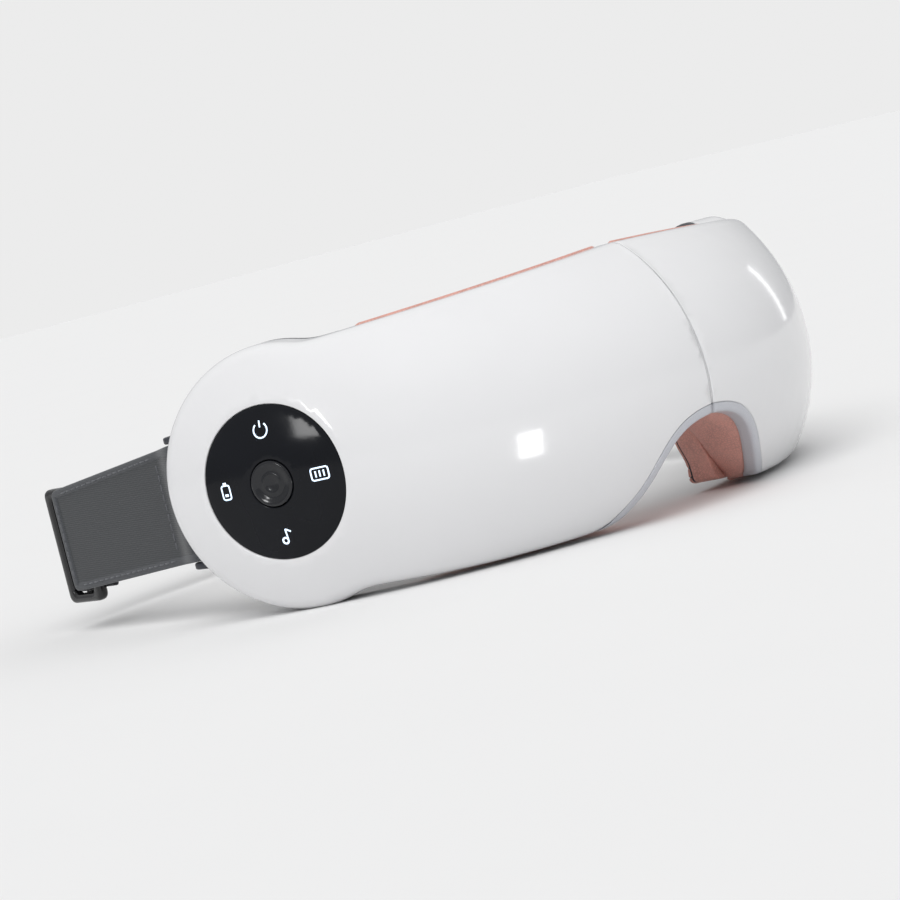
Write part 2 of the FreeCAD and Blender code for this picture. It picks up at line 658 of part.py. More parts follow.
# ---- massage air supply, in the +X half's lobe ----
def pump_motor():
    start = lobe_point(PUMP_START - PUMP_MOTOR_LENGTH, PUMP_Z, PUMP_DEPTH)
    return Part.makeCylinder(PUMP_MOTOR_R, PUMP_MOTOR_LENGTH, start, along(TEMPLE_ANGLE))


def nozzle(ahead, z, depth):
    """Short hose barb that points along the front."""
    return Part.makeCylinder(NOZZLE_R, NOZZLE_LENGTH, lobe_point(ahead, z, depth), along(TEMPLE_ANGLE))


def air_pump():
    """Diaphragm pump head on the end of its motor."""
    middle = PUMP_START + PUMP_LENGTH / 2
    head = lobe_box(middle, PUMP_Z, PUMP_DEPTH, PUMP_LENGTH, PUMP_THICK, PUMP_HEIGHT)
    return head.fuse(nozzle(PUMP_START + PUMP_LENGTH, PUMP_Z + 3, PUMP_DEPTH))


def air_valve():
    """Solenoid valve that lets the air cells empty."""
    body = lobe_box(VALVE_AHEAD, VALVE_Z, VALVE_DEPTH, VALVE_LENGTH, VALVE_THICK, VALVE_HEIGHT)
    return body.fuse(nozzle(VALVE_AHEAD + VALVE_LENGTH / 2, VALVE_Z, VALVE_DEPTH))


# ---- strap ----
def strap_tab():
    """Hemmed tab, looped round the strap bar at its front end."""
    bar_x, bar_y = STRAP_X, STRAP_Y
    loop_r = PIN_R + LOOP_GAP
    ring = Part.makeCylinder(loop_r + LOOP_WALL, TAB_HIGH - TAB_LOW, V(bar_x, bar_y, TAB_LOW))

    def edge(x, y, low, high):
        half = TAB_THICK / 2
        return Part.makePolygon([V(x - half, y, low), V(x + half, y, low), V(x + half, y, high),
                                 V(x - half, y, high), V(x - half, y, low)])

    flat = Part.makeLoft([edge(bar_x, bar_y + 1.5, TAB_LOW, TAB_HIGH),
                          edge(CORNER_X, CORNER_Y, CORNER_LOW, CORNER_HIGH)], True, True)
    bore = Part.makeCylinder(loop_r, 80, V(bar_x, bar_y, -40))
    return ring.fuse(flat).cut(bore)


def band_middle_z():
    return (CORNER_HIGH + CORNER_LOW) / 2 - BUCKLE_DROP


def buckle():
    """Three-bar slider behind the tab's end."""
    inner_x = CORNER_X - TAB_THICK / 2 - SLIP - BUCKLE_THICK
    low = band_middle_z() - BUCKLE_HEIGHT / 2
    start_y = BUCKLE_END - BUCKLE_LENGTH
    body = Part.makeBox(BUCKLE_THICK, BUCKLE_LENGTH, BUCKLE_HEIGHT, V(inner_x, start_y, low))
    upright = [e for e in body.Edges if abs(e.Vertexes[0].Z - e.Vertexes[1].Z) < 0.1
               and abs(e.Vertexes[0].Y - e.Vertexes[1].Y) < 0.1]
    body = body.makeFillet(0.8, upright)
    slot_length = (BUCKLE_LENGTH - 3 * BUCKLE_BAR) / 2
    slot_height = BAND_HEIGHT + 1.0
    for index in (0, 1):
        y = start_y + BUCKLE_BAR + index * (slot_length + BUCKLE_BAR)
        body = body.cut(Part.makeBox(20, slot_length, slot_height,
                                     V(inner_x - 5, y, band_middle_z() - slot_height / 2)))
    return body


def strap_centre():
    """The strap's middle, where a four-bar loop through both strap bars and the fold closes."""
    return V(0, 2 * STRAP_Y - HINGE_Y, 0)


def band(end_gap, round_end):
    """Elastic band from the buckle round the back of the head to the middle."""
    start = V(CORNER_X - TAB_THICK / 2 - SLIP - BUCKLE_THICK - SLIP - BAND_THICK / 2,
              BUCKLE_END - BUCKLE_LENGTH, 0)
    corner_r = BAND_CORNER_R
    centre = strap_centre()
    corner_centre = V(start.x - corner_r, BUCKLE_END, 0)
    slope, turn_end = corner_slope(start.x, corner_r, centre.y, BUCKLE_END)
    big_r = turn_end.x / math.sin(slope)
    big_centre = V(0, centre.y - big_r, 0)
    half = BAND_THICK / 2

    def line(side):
        """One face of the band: side is +1 outside and -1 inside."""
        shift = side * half
        a = start + X * shift
        b = corner_centre + X * (corner_r + shift)
        mid_bearing = (math.pi / 2 - slope) / 2
        mid = corner_centre + V(math.cos(mid_bearing), math.sin(mid_bearing), 0) * (corner_r + shift)
        c = corner_centre + V(math.sin(slope), math.cos(slope), 0) * (corner_r + shift)
        end_angle = math.asin(end_gap / big_r)
        radius = big_r + shift
        d = big_centre + V(math.sin(slope / 2), math.cos(slope / 2), 0) * radius
        e = big_centre + V(math.sin(end_angle), math.cos(end_angle), 0) * radius
        return [Part.LineSegment(a, b), Part.Arc(b, mid, c), Part.Arc(c, d, e)], a, e

    outside, a_out, e_out = line(1)
    inside, a_in, e_in = line(-1)
    edges = [s.toShape() for s in outside] + [Part.makeLine(e_out, e_in)]
    edges += [s.toShape() for s in reversed(inside)] + [Part.makeLine(a_in, a_out)]
    face = Part.Face(Part.Wire(Part.__sortEdges__(edges)))
    solid = face.extrude(Z * BAND_HEIGHT)
    if round_end:
        solid = solid.fuse(Part.makeCylinder(half, BAND_HEIGHT, centre))
    solid.translate(Z * (band_middle_z() - BAND_HEIGHT / 2))
    return solid


def corner_slope(start_x, corner_r, centre_y, corner_y):
    """Slope at which the back of the band leaves its corner, and the point where it does."""
    slope = 0.3
    for _ in range(40):
        end = V(start_x - corner_r + corner_r * math.sin(slope), corner_y + corner_r * math.cos(slope), 0)
        slope = 2 * math.atan((centre_y - end.y) / end.x)
    return slope, end


# ---- the two halves, and the pieces between them ----
def mirrored(shape):
    return shape.mirror(V(0, 0, 0), X)


def build():
    pieces = {}
    shell = front_shell().fuse(shell_bosses().cut(hinge_room()))
    fasteners = screws()
    shell = shell.cut(fasteners)
    frame = rear_frame().cut(fasteners).cut(speaker_holes())
    cover = temple_cover().cut(fasteners)
    shared = {
        "nose_trim": nose_trim(),
        "nose_liner": nose_liner(),
        "rear_frame": frame,
        "temple_cover": cover,
        "face_pad": face_pad(),
        "eye_air_cell": eye_air_cell(),
        "heating_film": heating_film(),
        "massage_cushion": massage_cushion(),
        "vibration_motor": vibration_motor(),
        "motor_weight": motor_weight(),
        "speaker": speaker(),
        "air_hose": air_hose(),
        "screws": fasteners,
        "strap_bar": strap_bar(),
        "strap_tab": strap_tab(),
        "strap_buckle": buckle(),
    }
    for name, shape in shared.items():
        pieces["right_" + name] = shape
        pieces["left_" + name] = mirrored(shape)
    pieces["right_front_shell"] = shell
    control_shell = shell.cut(lobe_cylinder(0, 0, -8, PANEL_R, 14)).cut(port_envelope(1.0))
    pieces["left_front_shell"] = mirrored(control_shell)
    pieces["right_hinge_leaf"] = hinge_leaf(1)
    pieces["left_hinge_leaf"] = mirrored(hinge_leaf(0))
    pieces["hinge_pin"] = hinge_pin()
    pieces["right_elastic_band"] = band(BAND_THICK / 2 + 0.4, False)
    pieces["left_elastic_band"] = mirrored(band(0.0, True))
    pieces["control_panel"] = mirrored(panel_disc().cut(Part.makeCompound(icon_boxes())))
    pieces["icon_windows"] = mirrored(icon_windows())
    pieces["power_button"] = mirrored(power_button())
    pieces["main_board"] = mirrored(main_board())
    pieces["button_switch"] = mirrored(button_switch())
    pieces["battery"] = mirrored(battery())
    pieces["charging_port"] = mirrored(charge_port())
    pieces["air_pump"] = air_pump()
    pieces["pump_motor"] = pump_motor()
    pieces["air_valve"] = air_valve()
    return pieces


pieces = build()
whole_depth = strap_centre().y + BAND_THICK / 2
to_origin = V(0, -whole_depth / 2, -STAND_LEVEL)
for name, shape in pieces.items():
    shape = shape.copy()
    shape.translate(to_origin)
    shape.exportStep("parts/%s.step" % name)
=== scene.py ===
"""Eye massager mask: shells, pads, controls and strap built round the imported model, with their materials.

Shapes are worked out in millimetres in the mask's own frame: the bridge's foremost point is at x = y = 0,
z = 0 is the mask's mid height, the face is towards +Y, and the controls are on the -X side.
The +X half is modelled and the -X half is its mirror image. make() moves every shape to the frame's origin.
"""
import math

import bmesh
import bpy
import numpy as np
from mathutils import Matrix, Vector
from mathutils.geometry import delaunay_2d_cdt


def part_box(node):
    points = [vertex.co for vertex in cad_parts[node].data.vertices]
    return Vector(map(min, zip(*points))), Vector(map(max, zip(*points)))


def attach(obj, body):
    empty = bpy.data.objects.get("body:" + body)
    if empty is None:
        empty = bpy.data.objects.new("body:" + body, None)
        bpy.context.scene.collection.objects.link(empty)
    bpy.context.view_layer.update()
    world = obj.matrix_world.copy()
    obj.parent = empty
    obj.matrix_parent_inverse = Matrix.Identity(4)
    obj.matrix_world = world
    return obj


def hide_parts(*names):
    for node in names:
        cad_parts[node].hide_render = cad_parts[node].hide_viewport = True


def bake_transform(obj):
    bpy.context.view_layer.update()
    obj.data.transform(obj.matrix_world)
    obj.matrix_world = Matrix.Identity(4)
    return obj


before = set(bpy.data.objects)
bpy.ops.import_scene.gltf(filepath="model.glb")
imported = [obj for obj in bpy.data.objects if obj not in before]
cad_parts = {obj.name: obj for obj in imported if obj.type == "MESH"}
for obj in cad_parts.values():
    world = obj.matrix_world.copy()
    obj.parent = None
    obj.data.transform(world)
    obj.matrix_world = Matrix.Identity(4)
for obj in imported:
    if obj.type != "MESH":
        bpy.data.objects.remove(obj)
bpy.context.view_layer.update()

MM = 0.001
X, Y, Z = np.eye(3)

# ---- driving dimensions of the mask, in millimetres ----
HALF_WIDTH, PLAN_DEPTH = 102.0, 107.0       # plan ellipse of the front
TEMPLE_ANGLE, LOBE_R = 66.2, 34.0           # ellipse angle of the temple lobe's centre, and its radius
BRIDGE_CROWN_R, TEMPLE_CROWN_R = 42.2, 75.9
BRIDGE_TOP, TEMPLE_TOP_FALL = 36.5, 5.3     # upper edge's height, and how much lower it is at the temple
BRIDGE_BOTTOM, BOTTOM_SWELL = 30.0, 10.0    # lower edge's depth, and how it swells between bridge and temple
EDGE_ROUND = 5.0
WALL = 2.2
BRIDGE_RIM, TEMPLE_RIM = 26.0, 17.0         # depth of the rear rim behind the crest
SEAM_HALF, SEAM_BEVEL = 0.1, 0.25           # half the gap between the halves, and its rounded edge
HINGE_Y, FOLD = 24.0, 82.0                  # the hinge's axis, and how far the halves fold, in degrees
HINGE_LOW, HINGE_HIGH, PIN_HEAD = -5.5, 28.5, 1.2
KNUCKLE_R = 3.8
COVER_START, COVER_PLATE = 53.0, 2.6
NOSE_POINTS = ((0.0, -10.7), (11.55, -13.9), (21.0, -26.5), (33.0, -36.0))
NOSE_SIDE = 16.5
TRIM, TRIM_DEPTH = 2.4, 3.6                 # the notch's grey trim, and how far back it reaches
PAD_NOSE, PAD_TEMPLE, PAD_END = 11.0, 7.5, 52.0
PAD_INSET = 0.8                             # how far the soft pad lies inside the shell's edge
PAD_FOOT = -26.0                            # level at which the pad's nose side turns into its lower edge
PAD_ROUND = 1.8
PIPING_R, PIPING_PROUD = 0.8, 0.45          # the pad's piping, and how far it stands past the rim
EYE_ANGLE, EYE_Z, EYE_HALF_LENGTH, EYE_HALF_HEIGHT = 31.5, 2.0, 19.5, 16.0
NODE_RING, NODE_COUNT = (11.0, 8.0), 5      # half axes of the ring of massage nodes
CUSHION_FRONT, CUSHION = 2.25, 3.6          # the massage cushion's front behind the rim, and its thickness
PANEL_R, ICON_R, BUTTON_R = 19.6, 13.5, 5.8
PANEL_INSET = 0.15
RUN = 0.3                                   # clearance between moving pieces
EAR_R, EAR_THICK = 2.8, 1.8
STRAP_X, STRAP_Y = 86.0, 108.3
TAB_HIGH, TAB_LOW = 13.2, -17.8
TAB_END_Y, TAB_END_HIGH, TAB_END_LOW = 168.0, 6.0, -22.2
TAB_THICK, HEM = 2.2, 2.0
LOOP_R = 3.2                                # outside of the tab's loop around the strap bar
BAND_HEIGHT, BAND_THICK, BAND_CORNER = 26.0, 1.8, 7.0
BAND_HALF = 0.4 * BAND_THICK                # half the thickness at a rib, a little inside the band's own
BUCKLE_HEIGHT, BUCKLE_LENGTH, BUCKLE_THICK, BUCKLE_BAR = 32.0, 15.0, 3.2, 3.0
BUCKLE_END, BUCKLE_DROP = 175.0, 1.6
SHELL_SKIN, SEAM_WALL = 1.4, 1.66           # thickness of the shell's visible skin and of its seam end
SOFT_GAP = 0.05                             # keeps two faces that would touch apart

TAB_LENGTH = TAB_END_Y - STRAP_Y
LEAN_TOP = (TAB_END_HIGH - TAB_HIGH) / TAB_LENGTH
LEAN_LOW = (TAB_END_LOW - TAB_LOW) / TAB_LENGTH
BAR_CENTRE = np.array([STRAP_X, STRAP_Y, 0.0])
BAND_Z = (TAB_END_HIGH + TAB_END_LOW) / 2 - BUCKLE_DROP
BAND_BACK_Y = 2 * STRAP_Y - HINGE_Y         # middle of the band's back, opposite the hinge
BUCKLE_CENTRE = np.array([STRAP_X - TAB_THICK / 2 - SOFT_GAP - BUCKLE_THICK / 2,
                          BUCKLE_END - BUCKLE_LENGTH / 2, BAND_Z])

# ---- camera: target in the mask's frame, direction from it, roll, distance in metres and lens ----
CAMERA_TARGET = np.array([-29.76, 68.88, -6.22])
CAMERA_BACK = (-0.64908, -0.75649, 0.08015)
CAMERA_ROLL, CAMERA_DISTANCE, LENS = 14.042, 0.8988, 138.17

# ---- mesh spacing, in millimetres ----
STATION, SKIN_SPACING = 1.1, 2.0
HEM_PARTS = (0.5, 0.85, 1.0, 1.1)           # rows of a hem, as parts of its width

# ---- bodies, left and right ----
HALVES = ("left_half", "right_half")
STRAPS = ("left_strap", "right_strap")
CUSHIONS = ("left_massage_cushion", "right_massage_cushion")

pin_low, pin_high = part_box("hinge_pin")
TO_FRAME = np.array([0.0, (pin_low.y + pin_high.y) / 2 / MM - HINGE_Y, pin_low.z / MM - HINGE_LOW])


# ---- lines of points ----
def radians(angle):
    return np.radians(np.asarray(angle, float))


def row(values, direction):
    """Each value times a direction, one point a row."""
    return np.multiply.outer(np.asarray(values, float), direction)


def unit(vectors):
    """Each vector of an array, scaled to length 1."""
    return vectors / np.maximum(np.linalg.norm(vectors, axis=-1, keepdims=True), 1e-9)


def whole_turn(count):
    """Even angles round a circle, in radians."""
    return 2 * math.pi * np.arange(count) / count


def distances(line):
    """Distance along a line of points from its start to each point."""
    return np.concatenate([[0], np.cumsum(np.linalg.norm(np.diff(line, axis=0), axis=1))])


def tangents(line, closed):
    if closed:
        return np.roll(line, -1, axis=0) - np.roll(line, 1, axis=0)
    return np.gradient(line, axis=0)


# ---- the front's shape ----
def crest(angle):
    """Point of the plan ellipse, the foremost line of the front at mid height."""
    t = radians(angle)
    return row(HALF_WIDTH * np.sin(t), X) + row(PLAN_DEPTH * (1 - np.cos(t)), Y)


def along(angle):
    """Horizontal direction along the front, from the bridge to the temple."""
    t = radians(angle)
    return unit(row(HALF_WIDTH * np.cos(t), X) + row(PLAN_DEPTH * np.sin(t), Y))


def inward(angle):
    return np.cross(Z, along(angle))


def share(angle):
    """How far an angle is from the bridge, 0, to the temple lobe's centre, 1."""
    return np.clip(np.asarray(angle, float) / TEMPLE_ANGLE, 0, 1)


def crown_depth(angle, z):
    """How far the crowned front lies behind the crest at a height."""
    blend = share(angle) ** 2
    crown_r = 1 / ((1 - blend) / BRIDGE_CROWN_R + blend / TEMPLE_CROWN_R)
    return crown_r - np.sqrt(crown_r ** 2 - np.clip(z, -0.97 * crown_r, 0.97 * crown_r) ** 2)


def rim_depth(angle, z=0):
    """How far the rear rim lies behind the crest, at any height."""
    return BRIDGE_RIM + (TEMPLE_RIM - BRIDGE_RIM) * share(angle)


def past_lobe_centre(angle):
    return (crest(angle) - LOBE_CENTRE) @ LOBE_ALONG


def lobe_edge(angle):
    return np.sqrt(np.maximum(LOBE_R ** 2 - past_lobe_centre(angle) ** 2, 0))


def top_edge(angle):
    return np.maximum(BRIDGE_TOP - TEMPLE_TOP_FALL * share(angle) ** 1.2, lobe_edge(angle))


def bottom_edge(angle):
    u = share(angle)
    return -np.maximum(BRIDGE_BOTTOM + BOTTOM_SWELL * u * (1 - u), lobe_edge(angle))


LOBE_CENTRE = crest(TEMPLE_ANGLE)
LOBE_ALONG = along(TEMPLE_ANGLE)
LOBE_INWARD = inward(TEMPLE_ANGLE)
ANGLES = np.linspace(-5, 95, 4001)
LENGTHS = distances(crest(ANGLES))
LENGTHS -= np.interp(0, ANGLES, LENGTHS)


def locate(points):
    """Ellipse angle of each point's foot on the plan ellipse, and its depth behind the crest."""
    x, y = points[:, 0], points[:, 1]
    t = np.arctan2(x / HALF_WIDTH, (PLAN_DEPTH - y) / PLAN_DEPTH)
    for _ in range(6):
        off_x, off_y = x - HALF_WIDTH * np.sin(t), y - PLAN_DEPTH * (1 - np.cos(t))
        way_x, way_y = HALF_WIDTH * np.cos(t), PLAN_DEPTH * np.sin(t)
        miss = off_x * way_x + off_y * way_y
        slope = -way_x ** 2 - way_y ** 2 - off_x * HALF_WIDTH * np.sin(t) + off_y * PLAN_DEPTH * np.cos(t)
        t = t - miss / slope
    angle = np.degrees(t)
    flat = points * [1, 1, 0]
    return angle, ((flat - crest(angle)) * inward(angle)).sum(1)


class MaskSkin:
    """Surface that lies behind the crest by a depth that depends on the angle and the height."""

    def __init__(self, depth):
        self.depth = depth

    def plane(self, points):
        return np.column_stack([np.interp(locate(points)[0], ANGLES, LENGTHS), points[:, 2]])

    def lift(self, flat):
        angle = np.interp(flat[:, 0], LENGTHS, ANGLES)
        deep = self.depth(angle, flat[:, 1])
        return crest(angle) + inward(angle) * deep[:, None] + row(flat[:, 1], Z)

    def level(self, points):
        angle, deep = locate(points)
        return deep - self.depth(angle, points[:, 2])


CROWN = MaskSkin(crown_depth)
RIM = MaskSkin(rim_depth)


def behind_rim(depth):
    return MaskSkin(lambda angle, z: rim_depth(angle) + depth)


class FlatSkin:
    """Surface over the Y-Z plane through a centre; its height along X is a number or depends on the place."""

    def __init__(self, centre, height):
        self.centre, self.side, self.up, self.out = centre, Y, Z, X
        self.height = height if callable(height) else lambda u, v: 0 * u + height

    def plane(self, points):
        off = points - self.centre
        return np.column_stack([off @ self.side, off @ self.up])

    def lift(self, flat):
        u, v = flat.T
        return self.centre + row(u, self.side) + row(v, self.up) + row(self.height(u, v), self.out)

    def level(self, points):
        u, v = self.plane(points).T
        return (points - self.centre) @ self.out - self.height(u, v)


# ---- outlines: each station has a base point, the direction of the wall through it, and the way inside ----
class Outline:
    """An open or closed edge; notch is the share that the nose notch has in each station, from 0 to 1."""

    def __init__(self, base, wall, radius, closed, notch=None):
        self.base, self.wall, self.closed = base, wall, closed
        self.radius = np.zeros(len(base)) + radius
        self.notch = np.zeros(len(base)) if notch is None else notch
        self.into = self.find_into()

    def find_into(self):
        into = np.cross(tangents(self.base, self.closed), self.wall)
        if ((self.base.mean(0) - self.base) * into).sum() < 0:
            into = -into
        return unit(into)

    def shifted(self, amount, radius):
        """The outline moved inside by an amount, with another rounding."""
        moved = Outline(place(self, amount, 0), self.wall, radius, self.closed)
        moved.into = self.into
        return moved

    def hole(self):
        """The same outline as the edge of a hole, whose material lies outside it."""
        self.into = -self.into
        return self

    def part(self, keep):
        piece = Outline(self.base[keep], self.wall[keep], self.radius[keep], False, self.notch[keep])
        piece.into = self.into[keep]
        return piece


def slide(base, wall, skin):
    """Distance along each wall line from its base point to a skin."""
    reach = np.zeros(len(base))
    step = 0.02
    for _ in range(7):
        gap = skin.level(base + wall * reach[:, None])
        slope = (skin.level(base + wall * (reach + step)[:, None]) - gap) / step
        reach = reach - gap / slope
    return reach


def onto(base, wall, skin):
    """Base points moved along their walls onto a skin."""
    return base + wall * slide(base, wall, skin)[:, None]


def resample(base, wall, extra, spacing, closed):
    """Stations at an even spacing along a base line, keeping each end."""
    if closed:
        base, wall, extra = (np.concatenate([a, a[:1]]) for a in (base, wall, extra))
    length = distances(base)
    count = max(int(round(length[-1] / spacing)), 3)
    spots = np.linspace(0, length[-1], count + 1)[: count if closed else count + 1]
    pick = [np.column_stack([np.interp(spots, length, c) for c in a.T]) for a in (base, wall)]
    return pick[0], unit(pick[1]), np.interp(spots, length, extra)


def soften(values, width, closed):
    """Gaussian smoothing along a line of evenly spaced values, its width in stations."""
    reach = int(3 * width) + 1
    weights = np.exp(-0.5 * (np.arange(-reach, reach + 1) / width) ** 2)
    weights /= weights.sum()
    if closed:
        padded = np.concatenate([values[-reach:], values, values[:reach]])
    else:
        head = 2 * values[0] - values[reach:0:-1]
        tail = 2 * values[-1] - values[-2:-reach - 2:-1]
        padded = np.concatenate([head, values, tail])
    if values.ndim == 1:
        return np.convolve(padded, weights, "valid")
    return np.column_stack([np.convolve(c, weights, "valid") for c in padded.T])


def spline(points, count):
    """Natural cubic spline through plane points, by chord length."""
    points = np.array(points, float)
    knots = distances(points)
    n = len(points)
    gap = np.diff(knots)
    matrix = np.zeros((n, n))
    right = np.zeros((n, 2))
    matrix[0, 0] = matrix[-1, -1] = 1
    for i in range(1, n - 1):
        matrix[i, i - 1: i + 2] = gap[i - 1], 2 * (gap[i - 1] + gap[i]), gap[i]
        right[i] = 6 * ((points[i + 1] - points[i]) / gap[i] - (points[i] - points[i - 1]) / gap[i - 1])
    bend = np.linalg.solve(matrix, right)
    spots = np.linspace(0, knots[-1], count)
    i = np.clip(np.searchsorted(knots, spots, "right") - 1, 0, n - 2)
    h, a, b = gap[i][:, None], (knots[i + 1] - spots)[:, None], (spots - knots[i])[:, None]
    curve = (bend[i] * a ** 3 + bend[i + 1] * b ** 3) / (6 * h)
    curve += (points[i] / h - bend[i] * h / 6) * a + (points[i + 1] / h - bend[i + 1] * h / 6) * b
    return curve


def smoothstep(value):
    """Eases from 0 to 1 as the value goes from 0 to 1."""
    t = np.clip(value, 0, 1)
    return t * t * (3 - 2 * t)


def nose_line(start_x):
    """Nose notch from the seam down to its foot, as base points and walls square to the front view."""
    mirror = [(-x, z) for x, z in NOSE_POINTS[:0:-1]]
    curve = spline(mirror + list(NOSE_POINTS), 400)
    curve = curve[curve[:, 0] >= start_x]
    first = np.array([[start_x, np.interp(start_x, curve[:, 0], curve[:, 1])]])
    curve = np.concatenate([first, curve[1:]])
    return row(curve[:, 0], X) + row(curve[:, 1], Z), np.tile(Y, (len(curve), 1))


def joined(stretches):
    """Base points and walls of several stretches, end to end."""
    return [np.concatenate([stretch[i] for stretch in stretches]) for i in (0, 1)]


def shell_outline():
    """Edge of the +X front: along the top from the seam, round the lobe, back below and up the notch."""
    start_x = SEAM_HALF + SEAM_BEVEL
    start = math.degrees(math.asin(start_x / HALF_WIDTH))
    rising = np.arange(start, TEMPLE_ANGLE, 0.5)
    turn = radians(np.arange(90, -90.1, -2))
    lobe = LOBE_CENTRE + row(LOBE_R * np.cos(turn), LOBE_ALONG) + row(LOBE_R * np.sin(turn), Z)
    nose, nose_wall = nose_line(start_x)
    nose = onto(nose, nose_wall, CROWN)
    nose_angle = locate(nose)[0]
    inside = nose[:, 2] > bottom_edge(nose_angle)
    foot_angle = nose_angle[inside][-1]
    falling = np.arange(TEMPLE_ANGLE - 0.5, foot_angle, -0.5)
    parts = [
        (crest(rising) + row(top_edge(rising), Z), inward(rising), 0),
        (lobe, np.tile(LOBE_INWARD, (len(lobe), 1)), 0),
        (crest(falling) + row(bottom_edge(falling), Z), inward(falling), 0),
        (nose[inside][::-1], nose_wall[inside][::-1], 1),
    ]
    base, wall = joined(parts)
    notch = np.concatenate([np.full(len(p[0]), float(p[2])) for p in parts])
    base = onto(base, wall, CROWN)
    base, wall, notch = resample(base, wall, notch, STATION, False)
    base = soften(base, 2.6, False)
    wall = unit(soften(wall, 4, False))
    notch = smoothstep(soften(notch, 4, False))
    base[[0, -1], 0] = start_x
    return Outline(base, wall, EDGE_ROUND * (1 - notch) + 1.2 * notch, False, notch)


# ---- meshes ----
class Shape:
    """Points and faces of one piece, in millimetres."""

    def __init__(self):
        self.points, self.faces, self.kinds = [], [], []

    def add(self, points):
        first = len(self.points)
        self.points.extend(np.asarray(points, float).tolist())
        return list(range(first, len(self.points)))

    def corners(self, indices):
        return np.array([self.points[i] for i in indices])

    def bridge(self, one, other, closed, kind=0):
        count = len(one) if closed else len(one) - 1
        for i in range(count):
            j = (i + 1) % len(one)
            self.faces.append((one[i], one[j], other[j], other[i]))
            self.kinds.append(kind)

    def rows(self, lines, closed, kinds=None, around=False):
        """Joins neighbouring lines of points, the last to the first too if they go around."""
        rings = [self.add(line) for line in lines]
        pairs = list(zip(rings, rings[1:])) + ([(rings[-1], rings[0])] if around else [])
        for index, (one, other) in enumerate(pairs):
            self.bridge(one, other, closed, kinds[index] if kinds else 0)
        return rings

    def face(self, ring, kind=0):
        self.faces.append(tuple(ring))
        self.kinds.append(kind)

    def tube_of(self, lines, closed):
        """Joins lines of points into a tube with flat ends; a closed one has no ends."""
        rings = self.rows(lines, closed, around=True)
        if not closed:
            self.face([ring[0] for ring in rings])
            self.face([ring[-1] for ring in rings])

    def fill(self, skin, rings, spacing, kind=0):
        """Fills a ring, less the rings inside it, with even triangles that lie on a skin."""
        plane = [skin.plane(self.corners(ring)) for ring in rings]
        low, high = plane[0].min(0), plane[0].max(0)
        us = np.arange(low[0], high[0], spacing)
        vs = np.arange(low[1], high[1], spacing * 0.866)
        grid = np.array([(u + spacing / 2 * (k % 2), v) for k, v in enumerate(vs) for u in us])
        keep = inside_polygon(grid, plane[0]) & (gap_to(grid, plane[0]) > spacing * 0.6)
        for hole in plane[1:]:
            keep &= ~inside_polygon(grid, hole) & (gap_to(grid, hole) > spacing * 0.6)
        grid = grid[keep]
        new = self.add(skin.lift(grid)) if len(grid) else []
        indices = [i for ring in rings for i in ring] + new
        flat = np.concatenate(plane + ([grid] if len(grid) else []))
        edges, first = [], 0
        for ring in rings:
            edges += [(first + i, first + (i + 1) % len(ring)) for i in range(len(ring))]
            first += len(ring)
        result = delaunay_2d_cdt([Vector(p) for p in flat], edges, [], 0, 1e-5)
        found, faces, origins = result[0], result[2], result[3]
        centres = np.array([sum((found[i] for i in f), Vector((0, 0))) / len(f) for f in faces])
        good = inside_polygon(centres, plane[0])
        for hole in plane[1:]:
            good &= ~inside_polygon(centres, hole)
        met = {}

        def corner(i):
            """Index of a corner; where two edges cross there is no point yet, so one is added."""
            if origins[i]:
                return indices[origins[i][0]]
            if i not in met:
                met[i] = self.add(skin.lift(np.array([found[i]])))[0]
            return met[i]

        for face, ok in zip(faces, good):
            if ok:
                self.face([corner(i) for i in face], kind)
        return new

    def mirrored(self):
        other = Shape()
        other.points = [[-x, y, z] for x, y, z in self.points]
        other.faces = [tuple(reversed(face)) for face in self.faces]
        other.kinds = list(self.kinds)
        return other


def inside_polygon(points, ring):
    """Which plane points lie inside a ring."""
    inside = np.zeros(len(points), bool)
    u, v = points[:, 0], points[:, 1]
    for (u1, v1), (u2, v2) in zip(ring, np.roll(ring, -1, axis=0)):
        if v1 != v2:
            crosses = (v1 > v) != (v2 > v)
            inside ^= crosses & (u < (u2 - u1) * (v - v1) / (v2 - v1) + u1)
    return inside


def gap_to(points, ring):
    """Distance from each point to the nearest corner of a ring."""
    gap = np.full(len(points), 1e9)
    for corner in ring:
        gap = np.minimum(gap, np.hypot(*(points - corner).T))
    return gap


def rounding(outline, skin, radius):
    """Rolling-ball rounding between the walls and a skin: where it ends inside, and the ball's centre."""
    def height(inset):
        return slide(place(outline, inset, 0), outline.wall, skin)

    end = 0.3 * radius
    for _ in range(9):
        slope = (height(end + 0.03) - height(end - 0.03)) / 0.06
        end = radius * (1 + slope / np.hypot(1, slope))
    top = height(end)
    centre = top + radius / np.hypot(1, slope)
    return end, top, centre


def place(outline, inset, height):
    """Points at an inset from the outline and a height along its walls."""
    inset, height = np.reshape(inset, (-1, 1)), np.reshape(height, (-1, 1))
    return outline.base + outline.into * inset + outline.wall * height


def place_on(outline, inset, skin):
    """Points of a skin at an inset from the outline."""
    return place(outline, inset, slide(place(outline, inset, 0), outline.wall, skin))


def rounded_rows(outline, skin, steps=7):
    """Rows of points from the end of the wall over the rounding onto a skin, and the wall's end height."""
    radius = outline.radius
    end, top, centre = rounding(outline, skin, radius)
    last = np.arctan2(top - centre, end - radius) + 2 * math.pi
    rows = []
    for k in range(steps + 1):
        turn = math.pi + (last - math.pi) * k / steps
        rows.append(place(outline, radius * (1 + np.cos(turn)), centre + radius * np.sin(turn)))
    return rows, centre


